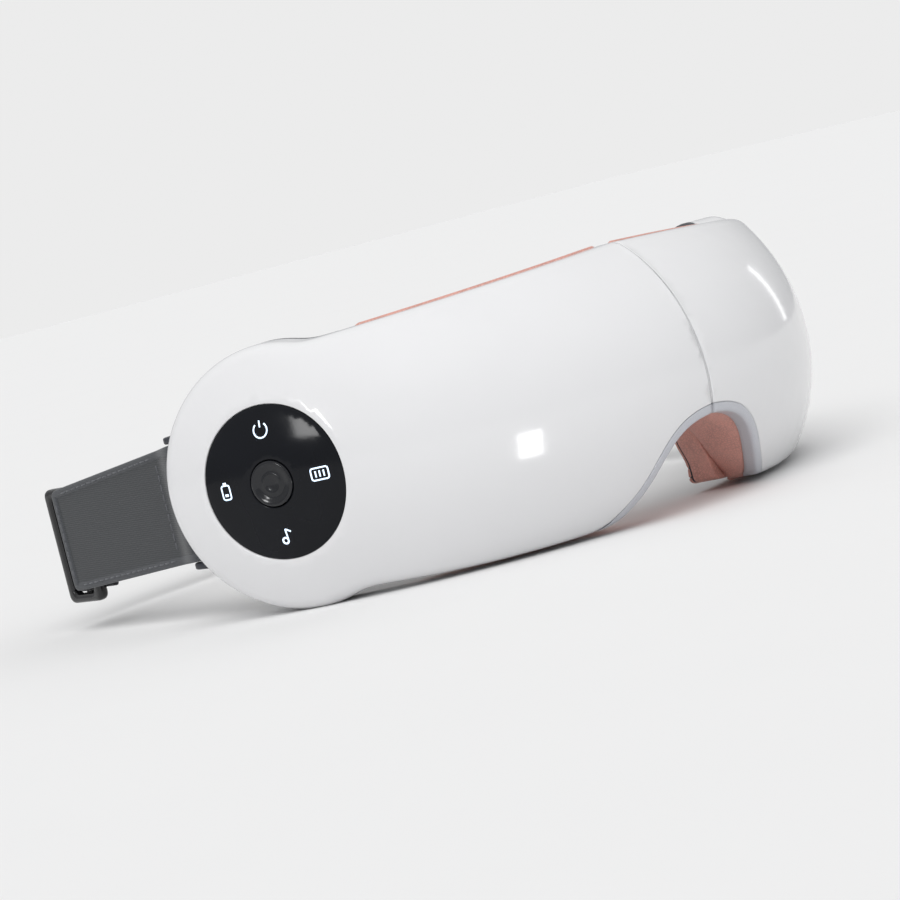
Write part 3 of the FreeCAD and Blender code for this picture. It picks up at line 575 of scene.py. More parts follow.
def slab(outlines, front, back, front_round, back_round, spacing, kinds=(0, 0, 0), levels=2, wall_rows=3,
         hem=0.0, hem_kind=0):
    """Closed body between two skins, with a rounded edge round each; the first outline is the outer one.

    Walls run from the front skin to the back skin. kinds: material of the front, the wall and the back.
    A hem is a strip of another material along the edge of both faces.
    """
    shape = Shape()
    front_rings, back_rings = [], []
    for outline in outlines:
        fore = Outline(outline.base, outline.wall, front_round, True)
        aft = Outline(outline.base, -outline.wall, back_round, True)
        fore.into = aft.into = outline.into
        fore_rows, _ = rounded_rows(fore, front, levels)
        aft_rows, _ = rounded_rows(aft, back, levels)
        lines = fore_rows[::-1]
        for k in range(1, wall_rows):
            lines.append(fore_rows[0] + (aft_rows[0] - fore_rows[0]) * k / wall_rows)
        lines += aft_rows
        marks = [kinds[0]] * levels + [kinds[1]] * wall_rows + [kinds[2]] * levels
        if hem:
            lines = hem_rows(fore, front, hem)[::-1] + lines + hem_rows(aft, back, hem)
            marks = [hem_kind] * (len(marks) + 2 * len(HEM_PARTS))
        rings = shape.rows(lines, True, marks)
        front_rings.append(rings[0])
        back_rings.append(rings[-1])
    shape.fill(front, front_rings, spacing, kinds[0])
    shape.fill(back, back_rings, spacing, kinds[2])
    return shape


def hem_rows(outline, skin, hem):
    """Rows on a skin from the rounding to the inner edge of a hem."""
    return [place_on(outline, hem * part, skin) for part in HEM_PARTS]


def convex_prism(shape, ring, way, low, high, bevel, steps=3):
    """Prism along a direction with a convex outline and rounded ends, between two distances."""
    out = unit(np.cross(tangents(ring, True), way))
    if ((ring - ring.mean(0)) * out).sum() < 0:
        out = -out
    lines = []
    for start, sign in ((low, 1), (high, -1)):
        turns = [math.pi / 2 * k / steps for k in range(steps + 1)]
        for turn in turns if sign == 1 else turns[::-1]:
            inset, rise = bevel * (1 - math.sin(turn)), bevel * (1 - math.cos(turn))
            lines.append(ring - out * inset + way * (start + sign * rise))
    rings = shape.rows(lines, True)
    shape.face(rings[0])
    shape.face(rings[-1])


def circle(centre, radius, side, up, count):
    turn = whole_turn(count)
    return centre + row(radius * np.cos(turn), side) + row(radius * np.sin(turn), up)


def make(name, shape, materials, body=None):
    """Blender object of a shape, moved into the frame."""
    mesh = bpy.data.meshes.new(name)
    points = (np.array(shape.points) + TO_FRAME) * MM
    points[:, 2] = np.maximum(points[:, 2], 0)
    mesh.from_pydata(points.tolist(), [], shape.faces)
    for finish in materials:
        mesh.materials.append(finish)
    mesh.polygons.foreach_set("material_index", shape.kinds)
    mesh.polygons.foreach_set("use_smooth", [True] * len(mesh.polygons))
    work = bmesh.new()
    work.from_mesh(mesh)
    bmesh.ops.recalc_face_normals(work, faces=work.faces)
    work.to_mesh(mesh)
    work.free()
    mesh.validate()
    piece = bpy.data.objects.new(name, mesh)
    bpy.context.scene.collection.objects.link(piece)
    if body:
        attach(piece, body)
    return piece


def apply_modifiers(piece):
    """Makes the mesh with its modifiers the piece's own mesh."""
    graph = bpy.context.evaluated_depsgraph_get()
    mesh = bpy.data.meshes.new_from_object(piece.evaluated_get(graph))
    piece.modifiers.clear()
    piece.data = mesh


def both_sides(name, shape, materials, bodies=HALVES, node=None):
    """Makes the right piece and its mirror image; node is the CAD node that they replace."""
    pieces = []
    for side, own, body in zip(("left_", "right_"), (shape.mirrored(), shape), bodies):
        piece = make(side + name, own, materials, body)
        if node:
            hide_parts(side + node)
        pieces.append(piece)
    return pieces


def wedge_limit(outline, height, gap):
    """Keeps wall ends out of the wedge behind the fold's axis."""
    lean = 1 / math.tan(math.radians(FOLD / 2))
    base, wall = outline.base, outline.wall
    room = (HINGE_Y + (base[:, 0] - gap) * lean - base[:, 1]) / (wall[:, 1] - wall[:, 0] * lean)
    steep = wall[:, 1] - wall[:, 0] * lean > 0.05
    return np.where(steep, np.minimum(height, room), height)


def front_shell(panel_hole):
    """Glossy front of one half with its rounded edge, seam bevel and wall thickness."""
    full = shell_outline()
    notch = full.notch
    radius = EDGE_ROUND * (1 - notch) + 0.5 * notch
    edge = full.shifted((TRIM + SOFT_GAP) * notch, radius)
    rows, end = rounded_rows(edge, CROWN, 8)
    rim = wedge_limit(edge, slide(edge.base, edge.wall, RIM), 0.5)
    walls = [place(edge, 0, rim + (end - rim) * k / 6) for k in range(6)]
    shape = Shape()
    rings = shape.rows(walls + rows, False)
    flat = CROWN.plane(shape.corners([rings[-1][-1], rings[-1][0]]))
    steps = int((flat[1, 1] - flat[0, 1]) / SKIN_SPACING)
    line = flat[0] + np.outer(np.arange(1, steps) / steps, flat[1] - flat[0])
    seam = shape.add(CROWN.lift(line))
    outlines = [rings[-1] + seam]
    hole = None
    if panel_hole:
        hole = shape.add(on_lobe(PANEL_R + 0.35, 90))
        outlines.append(hole)
    shape.fill(CROWN, outlines, SKIN_SPACING)
    chain = [ring[0] for ring in rings] + seam[::-1] + [ring[-1] for ring in rings[::-1]]
    return shape, chain, hole


def on_lobe(radius, count):
    """Ring of points on the front, round as seen along the lobe's axis."""
    ring = circle(LOBE_CENTRE, radius, LOBE_ALONG, Z, count)
    return onto(ring, np.tile(LOBE_INWARD, (count, 1)), CROWN)


def roll_over(shape, chain, moves, closed):
    """Adds rows beyond a boundary line, each moved from the one before."""
    for move in moves:
        new = shape.add(shape.corners(chain) + move)
        shape.bridge(chain, new, closed)
        chain = new
    return chain


def shell_pieces(materials):
    """Skin of each half, rolled in at the seam and round the disc, then given its thickness."""
    for side, body in zip(("left", "right"), HALVES):
        shape, chain, hole = front_shell(side == "left")
        deeper = inner_ways(shape, chain)
        at_seam = [deeper * 0.1 - X * 0.65 * SEAM_BEVEL, deeper * 0.4 - X * 0.35 * SEAM_BEVEL]
        roll_over(shape, chain, at_seam, False)
        if hole:
            out = shape.corners(hole) - LOBE_CENTRE
            out = unit(out - np.outer(out @ LOBE_INWARD, LOBE_INWARD))
            at_disc = [LOBE_INWARD * 0.06 - out * 0.2, LOBE_INWARD * 0.25 - out * 0.13, LOBE_INWARD]
            roll_over(shape, hole, at_disc, True)
        if side == "left":
            shape = shape.mirrored()
        shell = make(side + "_shell_skin", shape, materials)
        thick = shell.modifiers.new("wall", "SOLIDIFY")
        thick.thickness = SHELL_SKIN * MM
        thick.offset = -1
        apply_modifiers(shell)
        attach(shell, body)
        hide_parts(side + "_front_shell")


def seam_walls(materials):
    """Flat wall that closes each half at the seam, with an opening for the hinge's knuckles."""
    shape, chain, _ = front_shell(False)
    edge = (shape.corners(chain) + inner_ways(shape, chain) * 0.5) * [0, 1, 1]
    low, high = HINGE_LOW - RUN, HINGE_HIGH + PIN_HEAD + RUN
    rear, front = HINGE_Y - RUN, HINGE_Y - KNUCKLE_R - RUN
    edge[:, 1] = np.minimum(edge[:, 1], rear)
    opening = [(0, rear, low), (0, front, low), (0, front, high), (0, rear, high)]
    ring = np.concatenate([edge, opening])
    sides = [np.linspace(a, b, max(int(np.linalg.norm(b - a) / 0.5), 1), endpoint=False)
             for a, b in zip(ring, np.roll(ring, -1, axis=0))]
    near = SEAM_HALF + 0.04
    base = np.concatenate(sides) + X * near
    outline = closed_outline(base, np.tile(X, (len(base), 1)), 0.8, 0)
    skins = [FlatSkin(np.zeros(3), height) for height in (near, near + SEAM_WALL)]
    wall = slab([outline], *skins, 0.1, 0.1, 3.0, wall_rows=1)
    both_sides("seam_wall", wall, materials)


def inner_ways(shape, chain):
    """For each point of the seam's section, the way into the wall, in the seam's plane."""
    points = shape.corners(chain) * [0, 1, 1]
    ways = np.cross(unit(tangents(points, False)), X)
    middle = np.array([0, BRIDGE_RIM, 10.0])
    if ((middle - points) * ways).sum() < 0:
        ways = -ways
    return ways


class NoseEdge:
    """Stations along the nose notch, with the heights that its trim and its liner are built between."""

    def __init__(self):
        full = shell_outline()
        self.edge = full.part(full.notch > 0.12)
        self.width = TRIM * self.edge.notch
        self.radius = self.edge.radius
        self.end, _, self.centre = rounding(self.edge, CROWN, self.radius)
        self.front = self.skin(0 * self.width)
        self.rim = wedge_limit(self.edge, slide(self.edge.base, self.edge.wall, RIM), 0.4)

    def skin(self, inset):
        """Height of the front surface at an inset from the notch's edge."""
        inset = np.minimum(inset, self.width)
        on_skin = slide(place(self.edge, inset, 0), self.edge.wall, CROWN)
        on_ball = self.centre - np.sqrt(np.maximum(self.radius ** 2 - (self.radius - inset) ** 2, 0))
        return np.where(inset < self.end, on_ball, on_skin)

    def sweep(self, insets, heights):
        """Closed bar through one point a station for each inset and height."""
        shape = Shape()
        shape.tube_of([place(self.edge, inset, height) for inset, height in zip(insets, heights)], False)
        return shape


def nose_trim(materials):
    """Grey trim that forms the notch's front edge, its corners rounded."""
    nose = NoseEdge()
    insets = [part * nose.width for part in (1.0, 0.96, 0.8, 0.6, 0.42, 0.28, 0.16, 0.07, 0.02)]
    heights = [nose.skin(inset) for inset in insets]
    heights[0] = heights[0] + 0.12
    for part in (0.0, 0.3, 0.6, 0.9):
        insets.append(0 * nose.width)
        heights.append(nose.front + TRIM_DEPTH * part)
    insets += [0.12 * nose.width, nose.width, nose.width]
    heights += [nose.front + TRIM_DEPTH, nose.front + TRIM_DEPTH, nose.skin(nose.width) + 1.0]
    both_sides("nose_edge", nose.sweep(insets, heights), materials, node="nose_trim")


def nose_liner(materials):
    """Soft liner of the notch's wall, a little fuller in its middle and rolled over at both ends."""
    nose = NoseEdge()
    start = nose.front + TRIM_DEPTH + SOFT_GAP
    insets, heights = [nose.width], [start]
    for part in (0.0, 0.02, 0.06, 0.14, 0.3, 0.5, 0.7, 0.86, 0.94, 0.98, 1.0):
        sunk = 0.75 * (1 - math.sin(math.pi * part) ** 0.35)
        insets.append(sunk * nose.edge.notch)
        heights.append(start + (nose.rim - start) * part)
    insets.append(nose.width)
    heights.append(nose.rim)
    both_sides("nose_lining", nose.sweep(insets, heights), materials, node="nose_liner")


# ---- materials ----
def material(name, colour, roughness, **sockets):
    """Material with a principled shader; other sockets are set by name, with _ for a space."""
    made = bpy.data.materials.new(name)
    made.use_nodes = True
    shader = made.node_tree.nodes["Principled BSDF"]
    shader.inputs["Base Color"].default_value = (*colour, 1)
    shader.inputs["Roughness"].default_value = roughness
    for socket, value in sockets.items():
        shader.inputs[socket.replace("_", " ")].default_value = value
    return made


def node(made, kind, **values):
    """New shader node; values set its sockets or its settings, with _ for a space."""
    new = made.node_tree.nodes.new(kind)
    for name, value in values.items():
        key = name.replace("_", " ")
        if key in new.inputs:
            new.inputs[key].default_value = value
        else:
            setattr(new, name, value)
    return new


def link(made, source, target):
    made.node_tree.links.new(source, target)


def maths(made, operation, *terms):
    """Result of a math node; each term is a number or another node's output."""
    worker = node(made, "ShaderNodeMath", operation=operation)
    for socket, term in zip(worker.inputs, terms):
        if isinstance(term, float):
            socket.default_value = term
        else:
            link(made, term, socket)
    return worker.outputs[0]


def remap(made, source, *limits):
    """Source mapped from its low and high limit to another low and high limit."""
    mapper = node(made, "ShaderNodeMapRange")
    for key, value in zip(("From Min", "From Max", "To Min", "To Max"), limits):
        mapper.inputs[key].default_value = value
    link(made, source, mapper.inputs["Value"])
    return mapper.outputs["Result"]


def coordinates(made, stretch=(1, 1, 1)):
    """Object coordinates in millimetres, stretched along each axis."""
    origin = node(made, "ShaderNodeTexCoord")
    mapping = node(made, "ShaderNodeMapping", Scale=[part / MM for part in stretch])
    link(made, origin.outputs["Object"], mapping.inputs["Vector"])
    return mapping.outputs["Vector"]


def noise(made, size, detail=3.0, vector=None):
    """Noise with features of a size in millimetres."""
    texture = node(made, "ShaderNodeTexNoise", Scale=1 / size, Detail=detail)
    link(made, vector or coordinates(made), texture.inputs["Vector"])
    return texture.outputs["Fac"]


def vary(made, source, low, high, socket, spread=(0.3, 0.7)):
    """Drives a socket from a grey source between two values or colours."""
    shader = made.node_tree.nodes["Principled BSDF"]
    if isinstance(low, tuple):
        ramp = node(made, "ShaderNodeValToRGB")
        ramp.color_ramp.elements[0].position, ramp.color_ramp.elements[1].position = spread
        ramp.color_ramp.elements[0].color = (*low, 1)
        ramp.color_ramp.elements[1].color = (*high, 1)
        link(made, source, ramp.inputs["Fac"])
        link(made, ramp.outputs["Color"], shader.inputs[socket])
    else:
        link(made, remap(made, source, *spread, low, high), shader.inputs[socket])


def bump(made, sources, distance, strength=1.0):
    """Bump from the sum of sources, each with a weight, its full height in millimetres."""
    total = 0.0
    for source, weight in sources:
        total = maths(made, "MULTIPLY_ADD", source, weight, total)
    bumper = node(made, "ShaderNodeBump", Strength=strength, Distance=distance * MM)
    link(made, total, bumper.inputs["Height"])
    link(made, bumper.outputs["Normal"], made.node_tree.nodes["Principled BSDF"].inputs["Normal"])


def gloss_plastic(name, colour, roughness, shift=0.03, coat=0.4, ior=1.49):
    """Injection-moulded gloss: a faint orange peel, smudges in the gloss, almost even colour."""
    made = material(name, colour, roughness, Coat_Weight=coat, Coat_Roughness=0.04, IOR=ior)
    darker = tuple(c * (1 - shift) for c in colour)
    vary(made, noise(made, 30, 2), darker, colour, "Base Color")
    vary(made, noise(made, 9, 4), roughness * 0.8, roughness * 1.35, "Roughness")
    bump(made, [(noise(made, 1.6, 2), 1.0)], 0.012, 0.35)
    return made


def textured_plastic(name, colour, roughness):
    """Fine spark-eroded texture, with rubbed lighter patches."""
    made = material(name, colour, roughness)
    lighter = tuple(min(c * 1.5 + 0.004, 1) for c in colour)
    vary(made, noise(made, 14, 5), colour, lighter, "Base Color", (0.35, 0.75))
    vary(made, noise(made, 5, 3), roughness * 0.85, roughness * 1.15, "Roughness")
    bump(made, [(noise(made, 0.35, 2), 1.0), (noise(made, 1.5, 2), 0.3)], 0.05, 0.5)
    return made


def leatherette(name, colour, roughness):
    """Pebbled leatherette: cells with creases between them, finer pores and slow colour change; the creases
    are painted darker as shade.
    """
    made = material(name, colour, roughness, Sheen_Weight=0.12, Sheen_Roughness=0.4)
    # the darker colour that is painted into the creases as shade
    deep = tuple(c * 0.72 for c in colour)
    grain = 0.9
    cells = node(made, "ShaderNodeTexVoronoi", feature="DISTANCE_TO_EDGE", Scale=1 / grain)
    link(made, coordinates(made), cells.inputs["Vector"])
    crease = remap(made, cells.outputs["Distance"], 0, 0.22, 0, 1)
    # painted crease shade, plus a random slow colour change from the noise
    tone = maths(made, "MULTIPLY_ADD", crease, 0.5, noise(made, 6, 4))
    vary(made, tone, deep, colour, "Base Color", (0.35, 0.95))
    vary(made, noise(made, 2.5, 3), roughness * 0.85, roughness * 1.2, "Roughness")
    pores, waves = noise(made, 0.22, 2), noise(made, 4, 2)
    bump(made, [(crease, 1.0), (pores, 0.5), (waves, 0.8)], 0.09, 0.6)
    return made


def woven(name, colour, pitch, lift, axes=("Y", "Z"), contrast=0.3):
    """Weave of two crossing sets of threads a pitch apart, with a little fuzz in colour and height; painted
    shade between the threads, a painted highlight where they cross.
    """
    made = material(name, colour, 0.85, Sheen_Weight=0.25, Sheen_Roughness=0.5)
    waves = []
    for axis in axes:
        wave = node(made, "ShaderNodeTexWave", wave_type="BANDS", bands_direction=axis,
                    Scale=math.pi / 10 / pitch, Distortion=0.35, Detail=2.0, Detail_Scale=2.0)
        link(made, coordinates(made), wave.inputs["Vector"])
        waves.append(wave.outputs["Fac"])
    cross = maths(made, "MULTIPLY", *waves)
    # dark is painted shade between the threads, light a painted highlight where they cross
    dark = tuple(c * (1 - contrast) for c in colour)
    light = tuple(min(c * 1.25, 1) for c in colour)
    vary(made, cross, dark, light, "Base Color", (0.0, 0.8))
    bump(made, [(cross, 1.0), (noise(made, 0.18, 3), 0.35), (noise(made, 5, 2), 0.4)], lift, 0.8)
    return made


def metal(name, colour, roughness, stretch=(1, 1, 12)):
    """Metal with drawn streaks and dull spots."""
    made = material(name, colour, roughness, Metallic=1.0)
    streaks = noise(made, 0.8, 3, coordinates(made, stretch))
    vary(made, streaks, roughness * 0.7, roughness * 1.5, "Roughness")
    vary(made, noise(made, 3, 4), tuple(c * 0.8 for c in colour), colour, "Base Color")
    bump(made, [(streaks, 1.0)], 0.01, 0.3)
    return made


def painted_trim():
    """Satin silver-grey paint with a fine metal flake."""
    made = material("silver_grey_paint", (0.5, 0.51, 0.545), 0.36, Metallic=0.2,
                    Coat_Weight=0.25, Coat_Roughness=0.2)
    vary(made, noise(made, 0.15, 2), (0.5, 0.51, 0.55), (0.58, 0.59, 0.63), "Base Color")
    vary(made, noise(made, 4, 3), 0.3, 0.42, "Roughness")
    bump(made, [(noise(made, 0.5, 2), 1.0)], 0.01, 0.3)
    return made


def light_window():
    """Lit icon: cool white, its tint varying a little at random between a deeper and a paler blue."""
    made = material("icon_light", (0.75, 0.86, 1.0), 0.3, Emission_Strength=1.0)
    vary(made, noise(made, 0.8, 2), (0.36, 0.62, 1.0), (0.72, 0.87, 1.0), "Emission Color", (0.25, 0.6))
    return made


def circuit_board():
    """Green solder mask with tracks showing through as lighter lines."""
    made = material("circuit_board", (0.01, 0.09, 0.04), 0.4, Coat_Weight=0.3)
    tracks = node(made, "ShaderNodeTexBrick", Scale=0.25)
    link(made, coordinates(made), tracks.inputs["Vector"])
    vary(made, tracks.outputs["Fac"], (0.008, 0.08, 0.035), (0.05, 0.2, 0.1), "Base Color", (0.0, 1.0))
    bump(made, [(tracks.outputs["Fac"], 1.0)], 0.03, 0.5)
    return made


def build_materials():
    return {
        "white_shell": gloss_plastic("gloss_white_plastic", (0.79, 0.79, 0.80), 0.14, 0.015),
        "grey_trim": painted_trim(),
        "inner_plastic": textured_plastic("grey_moulded_plastic", (0.045, 0.046, 0.052), 0.5),
        "dark_cover": textured_plastic("dark_soft_plastic", (0.014, 0.016, 0.024), 0.38),
        # rose set lighter than the leather's own colour: painted light, so that the liner in the shaded nose
        # notch looks lit
        "leatherette": leatherette("rose_leatherette", (0.74, 0.38, 0.32), 0.46),
        "face_leather": leatherette("dark_face_leather", (0.022, 0.024, 0.032), 0.42),
        "cushion_cloth": woven("cushion_cloth", (0.06, 0.062, 0.07), 0.7, 0.12, ("X", "Z"), 0.6),
        "air_cell": gloss_plastic("air_cell_film", (0.35, 0.4, 0.45), 0.35, 0.1, 0.0),
        "heating_film": metal("heating_film", (0.75, 0.42, 0.2), 0.4, (1, 1, 1)),
        "silicone": gloss_plastic("milky_silicone", (0.6, 0.6, 0.58), 0.4, 0.08, 0.0),
        "steel": metal("drawn_steel", (0.55, 0.55, 0.56), 0.28),
        "brass": metal("turned_brass", (0.7, 0.5, 0.22), 0.3),
        "black_gloss": gloss_plastic("black_glass_plastic", (0.006, 0.007, 0.010), 0.1, 0.3, 0.0, 1.3),
        "button_gloss": gloss_plastic("black_button_plastic", (0.010, 0.011, 0.014), 0.16, 0.3, 0.2, 1.42),
        "icon_light": light_window(),
        "circuit_board": circuit_board(),
        "battery_wrap": gloss_plastic("battery_wrap", (0.02, 0.11, 0.32), 0.3, 0.2, 0.2),
        "pump_plastic": textured_plastic("pump_plastic", (0.35, 0.35, 0.36), 0.5),
        "speaker": textured_plastic("speaker_paper", (0.02, 0.02, 0.02), 0.7),
        "tab_fabric": woven("tab_cloth", (0.046, 0.05, 0.055), 0.55, 0.06, contrast=0.35),
        "tab_hem": woven("tab_hem_cloth", (0.07, 0.075, 0.083), 0.4, 0.05),
        "thread": woven("sewing_thread", (0.13, 0.135, 0.15), 0.25, 0.05),
        "buckle_plastic": gloss_plastic("black_buckle_plastic", (0.006, 0.006, 0.007), 0.22, 0.4, 0.3),
        "elastic": woven("black_elastic", (0.02, 0.021, 0.025), 0.9, 0.25, contrast=0.5),
    }


# ---- face side ----
def closed_outline(base, wall, spacing, smooth):
    """Closed outline from rough stations, evenly spaced, its corners softened."""
    base, wall, _ = resample(base, wall, np.zeros(len(base)), spacing, True)
    if smooth:
        base = soften(base, smooth / spacing, True)
        wall = unit(soften(wall, smooth / spacing, True))
    return Outline(base, wall, 1.0, True)


def pad_thickness(angle):
    return PAD_NOSE + (PAD_TEMPLE - PAD_NOSE) * np.asarray(angle, float) / PAD_END


def pad_outline():
    """Edge of the face pad: top, temple end, bottom, nose notch and nose side wall."""
    start = math.degrees(math.asin(NOSE_SIDE / HALF_WIDTH)) * 1.32
    temple = PAD_END - 0.6
    rising = np.arange(start, temple, 0.5)
    falling = rising[::-1]
    heights = np.linspace(top_edge(PAD_END), bottom_edge(PAD_END), 60)[1:-1]
    end = crest([temple] * len(heights)) + row(heights, Z)
    nose, _ = nose_line(NOSE_SIDE)
    nose = nose[nose[:, 2] > PAD_FOOT] - 0.4 * Z
    sides = np.linspace(nose[0, 2], top_edge(start), 50)[1:-1]
    side = row([NOSE_SIDE] * len(sides), X) + row(sides, Z)
    falling = falling[crest(falling)[:, 0] > nose[-1, 0] + 4.5]
    parts = [
        (crest(rising) + row(top_edge(rising) - PAD_INSET, Z), inward(rising)),
        (end, inward([temple] * len(end))),
        (crest(falling) + row(bottom_edge(falling) + PAD_INSET, Z), inward(falling)),
        (nose[::-1], np.tile(Y, (len(nose), 1))),
        (side, np.tile(Y, (len(side), 1))),
    ]
    base, wall = joined(parts)
    return closed_outline(onto(base, wall, RIM), wall, 1.2, 3.0)


def eye_ring(shrink):
    """Elliptic outline of the eye window at the rear rim, drawn in by an amount."""
    turn = whole_turn(90)
    base = crest(EYE_ANGLE) + row((EYE_HALF_LENGTH - shrink) * np.cos(turn), along(EYE_ANGLE))
    base = base + row(EYE_Z + (EYE_HALF_HEIGHT - shrink) * np.sin(turn), Z)
    wall = np.tile(inward(EYE_ANGLE), (len(base), 1))
    return closed_outline(onto(base, wall, RIM), wall, 1.2, 0)


def eye_place(angle, z):
    """How far a place is from the eye's centre along the front and up."""
    angle = np.asarray(angle, float)
    return (crest(angle) - crest(EYE_ANGLE)) @ along(EYE_ANGLE), z - EYE_Z


def pad_depth(angle, z):
    """Rear face of the pad, a little fuller half way between its edge and the eye window."""
    ahead, up = eye_place(angle, z)
    reach = np.hypot(ahead / (EYE_HALF_LENGTH + 8), up / (EYE_HALF_HEIGHT + 8))
    fuller = 2.2 * np.exp(-((reach - 1) / 0.3) ** 2)
    return rim_depth(angle) + pad_thickness(angle) - 1.4 + fuller


def face_pads(materials):
    """Padded ring round each eye: leatherette walls with a dark face."""
    outlines = [pad_outline(), eye_ring(-0.2).hole()]
    shape = slab(outlines, behind_rim(SOFT_GAP), MaskSkin(pad_depth), 0.5, PAD_ROUND, 1.8,
                 kinds=(0, 0, 1), levels=5, wall_rows=4)
    pads = both_sides("pad_cover", shape, materials, node="face_pad")


def rim_line(sign, start, end):
    """Points just behind the shell's rear rim along the top, sign +1, or the bottom, sign -1."""
    angles = np.arange(start, end, 0.7)
    edge = top_edge(angles) if sign > 0 else bottom_edge(angles)
    inset = PIPING_R - PIPING_PROUD
    behind = inward(angles) * (rim_depth(angles) + PIPING_R)[:, None]
    return crest(angles) + behind + row(edge - sign * inset, Z)


def tube(shape, line, radius, count=10, closed=False):
    """Round cord along a line of points, its ends drawn in."""
    tangent = unit(tangents(line, closed))
    side = unit(np.cross(tangent, Z))
    up = np.cross(side, tangent)
    sizes = np.full((len(line), 1), radius)
    if not closed:
        sizes[[0, -1]] *= 0.45
    shape.tube_of([line + (side * math.cos(t) + up * math.sin(t)) * sizes for t in whole_turn(count)], closed)


def pad_piping(materials):
    """Welt of the pad's cover that shows as a thin line all along the shell's rear rim."""
    shape = Shape()
    tube(shape, rim_line(1, 2.0, COVER_START - 0.6), PIPING_R)
    foot = math.degrees(math.asin(NOSE_POINTS[3][0] / HALF_WIDTH)) + 2.0
    tube(shape, rim_line(-1, foot, COVER_START - 0.6), PIPING_R)
    both_sides("pad_piping", shape, materials)


def pad_seams(materials):
    """Welt where the pad's face meets its walls, and stitches beside it."""
    outline = pad_outline()
    skin = MaskSkin(pad_depth)
    welt, thread = Shape(), Shape()
    inset = PAD_ROUND * 0.3
    cord = place_on(outline, inset, skin) - outline.wall * PAD_ROUND * 0.42
    tube(welt, cord, 0.6, count=8, closed=True)
    sewn = place_on(outline, inset + 3.4, skin) + outline.wall[0] * SOFT_GAP
    stitch_line(thread, np.concatenate([sewn, sewn[:1]]), 3.2, 2.2)
    both_sides("pad_welt", welt, [materials[0]])
    both_sides("pad_stitches", thread, [materials[1]])


def cushion_seams(materials):
    """Welt round the edge of each massage cushion."""
    shape = Shape()
    ring = eye_ring(1.4)
    line = onto(ring.base, ring.wall, MaskSkin(cushion_depth))
    tube(shape, line - ring.wall * 0.5, 0.5, count=8, closed=True)
    both_sides("cushion_welt", shape, materials, CUSHIONS)


def cushion_depth(angle, z):
    """Face of the massage cushion: a low dome with five raised nodes."""
    ahead, up = eye_place(angle, z)
    reach = np.hypot(ahead / EYE_HALF_LENGTH, up / EYE_HALF_HEIGHT)
    dome = 0.9 * (1 - np.clip(reach, 0, 1) ** 2)
    bumps = 0
    for bearing in math.pi / 2 + whole_turn(NODE_COUNT):
        off = np.hypot(ahead - NODE_RING[0] * math.cos(bearing), up - NODE_RING[1] * math.sin(bearing))
        bumps = bumps + 1.5 * np.exp(-(off / 3.3) ** 2)
    return rim_depth(angle) + CUSHION_FRONT + CUSHION - 1.0 + dome + bumps


def massage_cushions(materials):
    shape = slab([eye_ring(0.9)], behind_rim(CUSHION_FRONT), MaskSkin(cushion_depth), 0.5, 1.6, 1.2, levels=4)
    for piece in both_sides("cushion_cover", shape, materials, CUSHIONS, "massage_cushion"):
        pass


# ---- temple cover, controls ----
def cover_outline():
    """Edge of the temple cover: the lobe's edge drawn in, and a straight front end."""
    full = shell_outline()
    angle = locate(full.base)[0]
    keep = (angle > COVER_START + 0.4) & (full.notch < 0.01)
    edge = full.part(keep)
    heights = np.linspace(edge.base[-1, 2], edge.base[0, 2], 50)[1:-1]
    end = crest([COVER_START] * len(heights)) + row(heights, Z)
    base, wall = joined([(edge.base, edge.wall), (end, inward([COVER_START] * len(heights)))])
    return closed_outline(onto(base, wall, RIM), wall, 1.1, 0.8)


def strap_ears(shape):
    """Two rounded ears on the back of the cover, which hold the ends of the strap bar."""
    root = LOBE_CENTRE + LOBE_ALONG * (LOBE_R - 9.0) + LOBE_INWARD * (TEMPLE_RIM + 1.2)
    way = unit(BAR_CENTRE - root)
    side = np.cross(way, Z)
    turn = radians(np.arange(-90, 91, 12))
    nose = BAR_CENTRE + row(EAR_R * np.cos(turn), way) + row(EAR_R * np.sin(turn), side)
    outline = np.concatenate([nose, [root + side * EAR_R, root - side * EAR_R]])
    for low in (TAB_HIGH + RUN, TAB_LOW - RUN - EAR_THICK):
        convex_prism(shape, outline, Z, low, low + EAR_THICK, 0.5)


def temple_covers(materials):
    skins = [behind_rim(depth) for depth in (SOFT_GAP, COVER_PLATE)]
    shape = slab([cover_outline()], *skins, 0.4, 1.2, 2.2, levels=4, wall_rows=2)
    strap_ears(shape)
    both_sides("temple_plate", shape, materials, node="temple_cover")


def control_panel(materials):
    """Glossy disc that follows the front's crown, with a hole for the button."""
    front = MaskSkin(lambda angle, z: crown_depth(angle, z) + PANEL_INSET)
    back = MaskSkin(lambda angle, z: crown_depth(angle, z) + WALL)

    def ring(radius, count):
        return closed_outline(on_lobe(radius, count), np.tile(LOBE_INWARD, (count, 1)), 1.0, 0)

    outlines = [ring(PANEL_R - SOFT_GAP, 120), ring(BUTTON_R + 0.2, 60).hole()]
    shape = slab(outlines, front, back, 0.35, 0.2, 1.6, levels=4, wall_rows=2)
    panel = make("control_disc", shape.mirrored(), materials, "left_half")
    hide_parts("control_panel")


def on_disc(flat, raised):
    """Points raised from the disc's face, given right of and above its centre as a viewer sees them."""
    base = LOBE_CENTRE + row(-flat[:, 0], LOBE_ALONG) + row(flat[:, 1], Z)
    on_front = onto(base, np.tile(LOBE_INWARD, (len(base), 1)), CROWN)
    return on_front + LOBE_INWARD * (PANEL_INSET - raised)


def stroke(shape, points, width=0.42, closed=False):
    """Thin raised ribbon on the disc along plane points."""
    tangent = tangents(points, closed)
    across = unit(np.column_stack([-tangent[:, 1], tangent[:, 0]])) * width / 2
    section = ((-1, -0.1), (-0.9, 0.06), (0.9, 0.06), (1, -0.1))
    shape.tube_of([on_disc(points + across * part, raised) for part, raised in section], closed)


